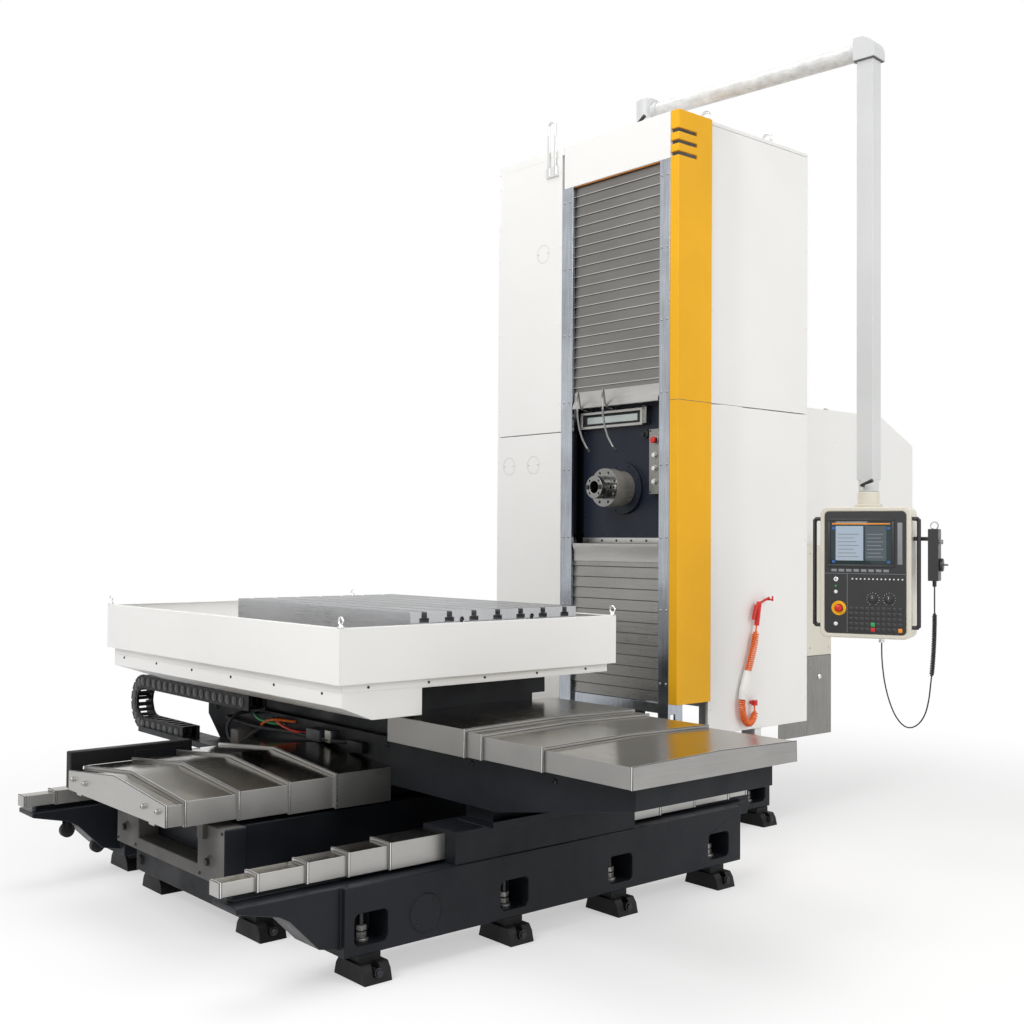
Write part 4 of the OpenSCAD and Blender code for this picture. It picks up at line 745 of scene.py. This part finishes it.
# Pendant face, in its own frame: screen above, keys and switches below
FACE_Y, SCREEN_Y, PANEL_Y = -0.0985, -0.1006, -0.099
SCREEN_LOW, SCREEN_HIGH, FRAME_W = (-0.172, 1.538), (0.132, 1.757), 0.014
SWITCH_X = -0.145
KEY_PITCH, KEY_SIZE = (0.0268, 0.026), (0.0205, 0.0035, 0.0195)
KEY_COLOURS = {(4, 0): "red", (9, 0): "amber", (4, 1): "green"}
pend = Piece("pendant_fittings", AT_PENDANT)


def on_face(low, high, rise, mat, edge=0, back=FACE_Y):
    """Block on the pendant face between two (x, z) corners"""
    pend.block((low[0], back - rise, low[1]), (high[0], back, high[1]), mat, edge)


(x0, z0), (x1, z1) = SCREEN_LOW, SCREEN_HIGH
on_face(SCREEN_LOW, SCREEN_HIGH, 0.0023, "screen", 0.001)
for z in (z1, z0 - FRAME_W):
    on_face((x0 - FRAME_W, z), (x1 + FRAME_W, z + FRAME_W), 0.0055, "plastic", 0.002)
for x in (x0 - FRAME_W, x1):
    on_face((x, z0), (x + FRAME_W, z1), 0.0055, "plastic", 0.002)
on_face((-0.164, 1.741), (0.124, 1.748), 0.0006, "amber", back=SCREEN_Y)
for x in (-0.164, 0.110):
    for z in (1.546, 1.716):
        on_face((x, z), (x + 0.014, z + 0.012), 0.0006, "blue", back=SCREEN_Y)
on_face((-0.146, 1.558), (-0.008, 1.733), 0.0004, "field", back=SCREEN_Y)
on_face((0.002, 1.558), (0.106, 1.733), 0.0004, "field_dim", back=SCREEN_Y)
for i in range(7):
    z = 1.575 + 0.019 * i
    on_face((-0.135, z), (-0.03 - 0.012 * (i % 3), z + 0.004), 0.0005, "grey_plastic", back=SCREEN_Y)
    on_face((0.01, z), (0.09 - 0.01 * (i % 2), z + 0.004), 0.0005, "grey_plastic", back=SCREEN_Y)
for i in range(8):
    x = -0.168 + 0.037 * i
    on_face((x, 1.500), (x + 0.028, 1.514), 0.0037, "grey_plastic", 0.0015)
on_face((0.160, 1.54), (0.184, 1.75), 0.0037, "grey_plastic", 0.0015)
on_face((-0.201, 1.4905), (0.201, 1.4925), 0.0008, "grey_plastic", back=-0.0988)
on_face((-0.089, 1.195), (-0.087, 1.490), 0.0008, "grey_plastic", back=-0.0988)
pend.ring((SWITCH_X, PANEL_Y, 1.462), FRONT, 0.004, 0.012, 0.005, "chrome")
on_face((SWITCH_X - 0.0015, 1.456), (SWITCH_X + 0.0015, 1.468), 0.0035, "dark")
SIGNALS = ((1.428, "green", 0.005), (1.398, "white_plastic", 0.009), (1.235, "white_plastic", 0.010))
for z, mat, radius in SIGNALS:
    lamp = [(radius, 0), (radius, 0.004), (radius * 0.7, 0.006)]
    pend.lathe(lamp, (SWITCH_X, PANEL_Y, z), FRONT, mat, 20)
pend.ring((PENDANT_STOP[0], PANEL_Y, PENDANT_STOP[1]), FRONT, 0.0215, 0.037, 0.003, "yellow")
for i in range(13):
    at = (-0.062 + 0.0205 * i, PANEL_Y, 1.465)
    pend.lathe([(0.004, 0), (0.004, 0.002), (0.002, 0.003)], at, FRONT, "white_plastic", 12)
for x in DIAL_XS.values():
    for i in range(13):
        a = radians(-150 + 25 * i)
        ray = Vector((sin(a), 0, cos(a)))
        mid = Vector((x, -0.0992, DIAL_Z)) + ray * 0.028
        pend.rod(mid, mid + ray * 0.005, 0.0008, "mark", sides=6)
for i in range(10):
    for j in range(5):
        low = Vector((-0.078 + KEY_PITCH[0] * i, -0.1018, 1.200 + KEY_PITCH[1] * j))
        pend.block(low, low + Vector(KEY_SIZE), KEY_COLOURS.get((i, j), "key"), 0.0018)
for z in (1.215, 1.779):
    for x in (-0.2254, 0.2246):
        pend.block((x, -0.092, z), (x + 0.0008, 0.095, z + 0.0015), "seam", 0)
    pend.block((-0.19, 0.0996, z), (0.19, 0.1004, z + 0.0015), "seam", 0)
pend.screws((-0.20, 0.20), [0.1], (1.20, 1.795), BACK, 0.012, "bolt")
for y in (-0.025, 0.018):
    pend.lathe([(0.012, 0), (0.012, 0.010), (0.010, 0.013)], (0.349, y, 1.655), NEAR, "grey_plastic", 18)
    for i in range(9):
        a = radians(-140 + 35 * i)
        v, w = y + 0.016 * sin(a), 1.655 + 0.016 * cos(a)
        pend.block((0.3488, v - 0.0006, w - 0.0006), (0.3494, v + 0.0006, w + 0.0006), "mark", 0)
HOOK_R = 0.018
turns = [2 * pi * i / 20 for i in range(21)]
pend.sweep([(0.324 + HOOK_R * sin(a), -0.005, 1.737 - HOOK_R * cos(a)) for a in turns], 0.003, "bolt", 8)
SOCKET = [(0.0155, 0), (0.0155, 0.008), (0.0135, 0.010), (0.0135, 0.016), (0.0155, 0.018), (0.0155, 0.0262)]
pend.lathe(SOCKET, (0.06, 0.03, 1.139), UP, "chrome")
pend.lathe([(0.068, 0), (0.070, 0.003), (0.070, 0.011), (0.066, 0.014)], (0, 0, 1.8295), UP, "cream", 40)
for i in range(6):
    a = 2 * pi * i / 6
    pend.screw((0.0625 * cos(a), 0.0625 * sin(a), 1.843), UP, 0.009, "bolt")
pend.done("pendant", "cream")

CLAMP = [(0.049, 0), (0.052, 0.003), (0.052, 0.022), (0.049, 0.025)]
arm = Piece("arm_fittings", AT_ARM)
# Dark plate just under the elbow: a painted shadow line between the elbow and the post
arm.block((1.380, -0.057, 4.1365), (1.494, 0.057, 4.1398), "seam", 0)
arm.lathe([(0.056, 0), (0.056, 0.004), (0.050, 0.008), (0.02, 0.010)], (0, 0, 4.2701), UP, "post", 36)
for x in (1.352, 0.066):
    arm.lathe(CLAMP, (x, 0, 4.2), NEAR, "post", 36)
arm.done("arm", "ivory")

# Tray: screws of the inset band and ring bolts on the rim
BAND_INSET, RIM = 0.030, 0.013
low, high = box_of("tray")
tray = Piece("tray_fittings", MACHINE)
tray.screws([-1.28 + 0.39 * i for i in range(6)], [low.y + BAND_INSET], [1.012], FRONT, 0.013)
tray.screws([high.x - BAND_INSET], [-2.25 + 0.31 * i for i in range(5)], [1.041], NEAR, 0.012)
for x in (low.x + RIM, high.x - RIM):
    for y in (low.y + RIM, high.y - RIM):
        tray.eyebolt((x, y, high.z), 0.034)
tray.done("table", "ivory")


# Way covers: a folded hem along the open edge of every segment, with painted shadow and a painted highlight;
# segments count from the end ones
def gable(half, low, side, ridge, x=0.0):
    """Section of a cover as an open outline of (x, z) points"""
    return [(x - half, low), (x - half, side), (x, side + ridge), (x + half, side), (x + half, low)]


def wide(k):
    """Cover over the bed"""
    return gable(0.490 + 0.010 * k, 0.512 - 0.005 * k, 0.597 + 0.011 * k, 0.047)


def narrow(k, x):
    """Cover over an outrigger"""
    return gable(0.035 + 0.0075 * k, 0.385 - 0.003 * k, 0.437 + 0.010 * k, 0.0005, x)


def cross(k):
    """Cover over the cross ways"""
    return gable(0.465 + 0.008 * k, 0.783 - 0.002 * k, 0.863 + 0.009 * k, 0.010)


# Bands of a hem: start, stop, height and finish; the dark bands are painted shadow, the bright band a painted
# highlight
HEM = ((0, 0.0040, 0.0026, "seam"), (0.0040, 0.0085, 0.0022, "fold_highlight"), (0.0085, 0.0125, 0.0010, "seam"))


def hem(piece, outline, edge, inward):
    """Dark lip, bright fold and a dark line behind it: painted shadow, painted highlight and painted shadow
    """
    for start, stop, t, mat in HEM:
        piece.band(outline, *sorted((edge + inward * start, edge + inward * stop)), t, mat)


FRONT_BODIES = ("base", "front_cover_2", "front_cover_3", "front_cover_4", "saddle")
REAR_BODIES = ("base", "rear_cover_2", "rear_cover_3", "saddle")
CROSS_NODES = ("x_cover_ends", "x_cover_2", "x_cover_3", "x_cover_inner")
OUTRIGGER_XS = (1.055, -0.860)
WIDE_FRONT = (-2.980, -2.905, -2.675, -2.445, -2.220)
NARROW_FRONT = (-3.060, -2.917, -2.715, -2.540, -2.355)
WIDE_REAR = (-0.030, -0.300, -0.580, -0.860)
NARROW_REAR = (-0.153, -0.300, -0.560, -0.810)
for side, bodies, first, inward, wide_edges, narrow_edges in (
        ("front", FRONT_BODIES, 0, 1, WIDE_FRONT, NARROW_FRONT),
        ("rear", REAR_BODIES, 1, -1, WIDE_REAR, NARROW_REAR)):
    for k, body in enumerate(bodies):
        hems = Piece("%s_hems_%d" % (side, k + 1), MACHINE)
        hem(hems, wide(first + k), wide_edges[k], inward)
        for x in OUTRIGGER_XS:
            hem(hems, narrow(first + k, x), narrow_edges[k], inward)
        hems.done(body, "steel")
SADDLE_Y = middle_of("x_cover_ends").y
ALONG_X = Matrix.Translation((0, SADDLE_Y, 0)) @ Matrix.Rotation(-pi / 2, 4, "Z")
MIRROR_X = Matrix.Scale(-1, 4, (1, 0, 0))
for k, node in enumerate(CROSS_NODES):
    low, high = box_of(node)
    for name, edge, flip in (("near", high.x, Matrix.Identity(4)), ("far", -low.x, MIRROR_X)):
        hems = Piece("cross_hems_%s_%d" % (name, k + 1), MACHINE @ flip @ ALONG_X)
        hem(hems, cross(k), edge, -1)
        hems.done(body_of[node], "steel")

# Beds: studs in the anchor pockets, jack screws, end frame bolts, rollers
OUT_Y = (-2.48, -1.77, -1.15, -0.48)
BED_Y = (-2.25, -1.60, -0.95, -0.30, 0.69)
JACK_Y = (-2.53, -1.40, -0.30)
STUDS = ((1.115, OUT_Y), (-0.920, OUT_Y), (0.425, BED_Y))
JACKS = ((1.237, 1, OUT_Y), (-1.042, -1, OUT_Y), (0.557, 1, JACK_Y + (0.74,)), (-0.557, -1, JACK_Y))
STUD_R, FOOT_TOP = 0.012, 0.136
NUT = [(0.021, 0), (0.023, 0.002), (0.023, 0.020), (0.021, 0.022)]
PORT_SCREW_R = 0.06
bed = Piece("bed_fittings", MACHINE)
for x, ys in STUDS:
    for y in ys:
        bed.rod((x, y, FOOT_TOP), (x, y, 0.238), STUD_R, "dark_bolt")
        bed.lathe([(0.032, 0), (0.032, 0.006), (0.030, 0.008)], (x, y, FOOT_TOP - 0.0005), UP, "bolt")
        for z in (0.144, 0.170):
            bed.lathe(NUT, (x, y, z), UP, "bolt", 6)
for x, out, ys in JACKS:
    for y in ys:
        bed.hex_bolt((x, y, 0.04), (out, 0, 0), 0.030)
for x in (-0.375, 0.4275):
    bed.hex_bolt((x, -2.762, 0.335), FRONT, 0.030)
bed.screws((-0.47, -0.285, 0.335, 0.525), [-2.75], (0.27, 0.462), FRONT, 0.014)
for i in range(4):
    a = pi / 4 + pi / 2 * i
    for x, y, z in ((1.196, -2.23, 0.205), (0.508, 0.30, 0.37)):
        bed.screw((x, y + PORT_SCREW_R * cos(a), z + PORT_SCREW_R * sin(a)), NEAR, 0.012)
bed.screws((-0.43, -0.30, 0.30, 0.43), [-2.990], [0.567], FRONT, 0.018, "bolt")
for y, z in ((-2.84, 0.245), (-2.69, 0.150)):
    bed.rod((-0.875, y, z), (-0.845, y, z), 0.034, "rubber", sides=28)
    bed.rod((-0.880, y, z), (-0.840, y, z), 0.010, "bolt")
    for x in (-0.885, -0.840):
        bed.block((x, y - 0.014, z - 0.012), (x + 0.005, y + 0.014, z + 0.06), "black", 0.001)
bed.done("base", "black")

# Cable chain: pins on both side plates, lines and blocks at its saddle end
BEND_X, CHAIN_R, CHAIN_MID, LINK = -1.5305, 0.117, middle_of("cable_chain").z, 0.07
PIN = [(0.024, -0.0005), (0.024, 0.002), (0.022, 0.003), (0.011, 0.003), (0.010, 0.0045), (0.004, 0.005)]
chain = Piece("chain_pins", MACHINE)
spots = [(BEND_X + LINK * i, CHAIN_MID - CHAIN_R) for i in range(1, 7)]
spots += [(BEND_X + LINK * i, CHAIN_MID + CHAIN_R) for i in range(1, 17)]
spots += [(BEND_X - CHAIN_R * sin(pi * i / 8), CHAIN_MID - CHAIN_R * cos(pi * i / 8)) for i in range(9)]
low, high = box_of("cable_chain")
for x, z in spots:
    for y, out in ((low.y, FRONT), (high.y, BACK)):
        chain.lathe(PIN, (x, y, z), out, "plastic", 20)
chain.done("chain", "plastic")
LINES = (
    ("rubber", 0.009, [
        (-0.76, -1.93, 0.745), (-0.78, -1.98, 0.735), (-0.80, -2.02, 0.69), (-0.79, -2.03, 0.64),
        (-0.74, -2.03, 0.605), (-0.66, -2.02, 0.61), (-0.60, -1.99, 0.66), (-0.56, -1.93, 0.70)]),
    ("green", 0.007, [
        (-0.66, -1.93, 0.75), (-0.62, -1.97, 0.752), (-0.54, -1.985, 0.735), (-0.44, -1.97, 0.725),
        (-0.38, -1.93, 0.72)]),
    ("orange", 0.007, [
        (-0.60, -1.93, 0.70), (-0.55, -1.97, 0.705), (-0.47, -1.985, 0.735), (-0.38, -1.98, 0.75),
        (-0.28, -1.93, 0.745)]),
    ("red", 0.007, [
        (-0.46, -1.93, 0.745), (-0.40, -1.97, 0.742), (-0.30, -1.98, 0.722), (-0.20, -1.97, 0.71),
        (-0.14, -1.93, 0.71)]),
    ("rubber", 0.010, [
        (-0.95, -1.93, 0.70), (-0.90, -1.965, 0.70), (-0.60, -1.97, 0.69), (-0.30, -1.965, 0.70),
        (0.10, -1.965, 0.705), (0.20, -1.93, 0.71)]),
)
lines = Piece("saddle_lines", MACHINE)
for mat, radius, points in LINES:
    lines.sweep(smooth_route(points, 6), radius, mat, 10)
lines.block((-0.735, -2.045, 0.5747), (-0.655, -1.955, 0.672), "end_frame", 0.006)
lines.block((-0.10, -1.985, 0.688), (0.02, -1.929, 0.745), "motor", 0.006)
lines.block((0.05, -1.975, 0.692), (0.10, -1.929, 0.750), "steel_z", 0.003)
lines.block((0.22, -1.960, 0.672), (0.34, -1.929, 0.724), "black", 0.004)
lines.screws((-1.1, -0.5, 0.5, 1.1, 1.6), [-1.93], [0.735], FRONT, 0.022)
lines.done("saddle", "casting")

# Cords: the route points are those of the solids
HOSE_ROUTE = [(503, 677.357, 1161.581), (503, 668.396, 1110.765), (503, 652, 1040), (503, 628, 970),
              (503, 600, 900), (503, 572, 830), (503, 552, 760), (503, 548, 690), (503, 566, 630),
              (503, 604, 600), (503, 640, 615), (503, 660, 650), (503, 660, 699.6)]
CORD_ROUTE = [(324, -5, 1430), (324, -5, 1380), (324, -5, 1320), (324, -5, 1260), (322, -4, 1180),
              (318, -2, 1100), (312, 0, 1020), (304, 2, 940), (294, 6, 860), (276, 10, 790), (246, 14, 740),
              (206, 18, 715), (166, 22, 725), (126, 25, 775), (96, 27, 850), (76, 29, 930), (66, 30, 1000),
              (61, 30, 1060), (60, 30, 1110), (60, 30, 1139)]
HOSE_D, HOSE_TURN_R, HOSE_PITCH, HOSE_PLAIN = 0.010, 0.016, 0.0125, 0.03
CORD_D, CORD_TURN_R, CORD_PITCH, CORD_TOP, CORD_FOOT = 0.007, 0.0085, 0.0085, 0.13, 0.78


def curly(route, turn_r, pitch, start, end, steps=14):
    """Centreline of a curly cord: plain over its start and end, a helix round the route between them"""
    run = [0.0]
    for a, b in zip(route, route[1:]):
        run.append(run[-1] + (b - a).length)
    total = run[-1]
    coiled = total - start - end
    count = int(coiled / pitch) * steps
    stations = [start * k / 4 for k in (1, 2, 3)]
    stations += [start + coiled * i / count for i in range(count + 1)]
    stations += [total - end * k / 40 for k in range(39, 0, -1)]
    line = [route[0]]
    side = None
    j = 0
    for s in stations:
        while run[j + 1] < s and j < len(run) - 2:
            j += 1
        p = route[j].lerp(route[j + 1], (s - run[j]) / (run[j + 1] - run[j]))
        t = (route[min(j + 2, len(route) - 1)] - route[max(j - 1, 0)]).normalized()
        side = t.orthogonal().normalized() if side is None else (side - t * side.dot(t)).normalized()
        ease = max(0.0, min(1.0, (s - start) / (1.5 * pitch), (total - end - s) / (1.5 * pitch)))
        a = 2 * pi * (s - start) / pitch
        line.append(p + (side * cos(a) + t.cross(side) * sin(a)) * turn_r * ease)
    return line + [route[-1]]


def cord_curve(name, line, wire, mat, body, node):
    """Round cord of a wire's thickness along its centreline"""
    curve = bpy.data.curves.new(name, "CURVE")
    curve.dimensions = "3D"
    curve.bevel_depth, curve.bevel_resolution, curve.use_fill_caps = wire / 2, 3, True
    spline = curve.splines.new("POLY")
    spline.points.add(len(line) - 1)
    for point, at in zip(spline.points, line):
        point.co = (*at, 1)
    curve.materials.append(MATS[mat])
    obj = bpy.data.objects.new(name, curve)
    scene.collection.objects.link(obj)
    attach(obj, body)
    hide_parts(node)


hose_mid = smooth_route([MACHINE @ (Vector(p) / 1000) for p in HOSE_ROUTE])
hose_line = curly(hose_mid, HOSE_TURN_R, HOSE_PITCH, HOSE_PLAIN, HOSE_PLAIN)
cord_curve("air_hose_coil", hose_line, HOSE_D, "orange", "base", "air_hose")
sleeve = Piece("hose_sleeve")
sleeve.sweep([p for p in hose_mid if 0.742 < p.z < 0.905 and p.y > 0.77], 0.0235, "sleeve", 24)
sleeve.done("base", "white_plastic")
cord_mid = smooth_route([AT_PENDANT @ (Vector(p) / 1000) for p in CORD_ROUTE])
cord_line = curly(cord_mid, CORD_TURN_R, CORD_PITCH, CORD_TOP, CORD_FOOT)
cord_curve("handwheel_cord", cord_line, CORD_D, "rubber", "pendant", "pendant_cord")

# Stage, light and camera
FLOOR_R, FLOOR_GREY = 40.0, 0.88
FADE_START, FADE_STOP, WHITE_NEAR = 2.0, 5.5, 0.5
WORLD_LIGHT = 0.5


def seen_rays(tree):
    """1 for rays that show the background: camera, mirror and glass rays"""
    path = new_node(tree, "LightPath")
    value = path.outputs["Is Camera Ray"]
    for name in ("Is Glossy Ray", "Is Transmission Ray"):
        most = new_node(tree, "Math", [(0, value), (1, path.outputs[name])], operation="MAXIMUM")
        value = most.outputs[0]
    return value


def floor_finish():
    """Pale floor that takes the shadow and fades to white away from the machine"""
    mat = bpy.data.materials.new("floor_pale")
    mat.use_nodes = True
    tree = mat.node_tree
    tree.nodes.clear()
    place = new_node(tree, "TexCoord")
    far = new_node(tree, "VectorMath", [(0, place.outputs["Object"])], operation="LENGTH")
    fade = new_node(tree, "MapRange", [("Value", far.outputs["Value"])], interpolation_type="SMOOTHSTEP",
                    From_Min=FADE_START, From_Max=FADE_STOP, To_Min=WHITE_NEAR, To_Max=1.0)
    share = new_node(tree, "Math", [(0, fade.outputs["Result"]), (1, seen_rays(tree))], operation="MULTIPLY")
    grey = new_node(tree, "BsdfDiffuse", Color=(FLOOR_GREY, FLOOR_GREY, FLOOR_GREY, 1))
    white = new_node(tree, "Emission")
    feeds = [("Fac", share.outputs[0]), (1, grey.outputs[0]), (2, white.outputs[0])]
    mix = new_node(tree, "MixShader", feeds)
    new_node(tree, "OutputMaterial", [("Surface", mix.outputs[0])])
    return mat


def studio_world():
    """Soft light from all sides, seen as plain white"""
    world = bpy.data.worlds.new("studio")
    world.use_nodes = True
    tree = world.node_tree
    tree.nodes.clear()
    soft = new_node(tree, "Background", Color=(1.0, 0.995, 0.985, 1), Strength=WORLD_LIGHT)
    plain = new_node(tree, "Background", Color=(1, 1, 1, 1), Strength=1.0)
    feeds = [("Fac", seen_rays(tree)), (1, soft.outputs[0]), (2, plain.outputs[0])]
    mix = new_node(tree, "MixShader", feeds)
    new_node(tree, "OutputWorld", [("Surface", mix.outputs[0])])
    return world


floor_mesh = bpy.data.meshes.new("floor")
floor_bm = bmesh.new()
bmesh.ops.create_circle(floor_bm, cap_ends=True, segments=64, radius=FLOOR_R)
floor_bm.to_mesh(floor_mesh)
floor_bm.free()
floor_mesh.materials.append(floor_finish())
floor = bpy.data.objects.new("floor", floor_mesh)
scene.collection.objects.link(floor)
scene.world = studio_world()


def softbox(name, at, aim, size, power):
    """Square lamp turned to its aim"""
    light = bpy.data.lights.new(name, "AREA")
    light.energy, light.size = power, size
    obj = bpy.data.objects.new(name, light)
    obj.location = at
    obj.rotation_euler = (Vector(aim) - Vector(at)).to_track_quat("-Z", "Y").to_euler()
    scene.collection.objects.link(obj)


softbox("key", (1.5, -7.5, 6.5), (0, -0.5, 1.2), 4.0, 330)
softbox("side", (7.5, 1.5, 5.0), (0, 0, 1.5), 4.0, 230)
softbox("top", (-1.0, -1.5, 8.5), (0, -0.8, 0.5), 5.0, 200)

FOCAL_PX, FRAME_PX, SENSOR = 1251.02, 1024, 36.0
PITCH, ROLL, HEADING = radians(1.282), radians(0.3946), radians(49.249)
EYE = MACHINE @ Vector((5.10, -5.17, 1.65))
ahead = Vector((-sin(HEADING), cos(HEADING), 0))
right = Vector((cos(HEADING), sin(HEADING), 0))
up = Vector((0, 0, 1))
look = ahead * cos(PITCH) + up * sin(PITCH)
lift = up * cos(PITCH) - ahead * sin(PITCH)
cam_x = right * cos(ROLL) + lift * sin(ROLL)
cam_y = lift * cos(ROLL) - right * sin(ROLL)
camera_data = bpy.data.cameras.new("camera")
camera_data.sensor_width = SENSOR
camera_data.lens = SENSOR * FOCAL_PX / FRAME_PX
camera_data.clip_end = 200
camera = bpy.data.objects.new("camera", camera_data)
basis = Matrix((cam_x, cam_y, -look)).transposed().to_4x4()
camera.matrix_world = Matrix.Translation(EYE) @ basis
scene.collection.objects.link(camera)
scene.camera = camera
scene.view_settings.view_transform = "Standard"
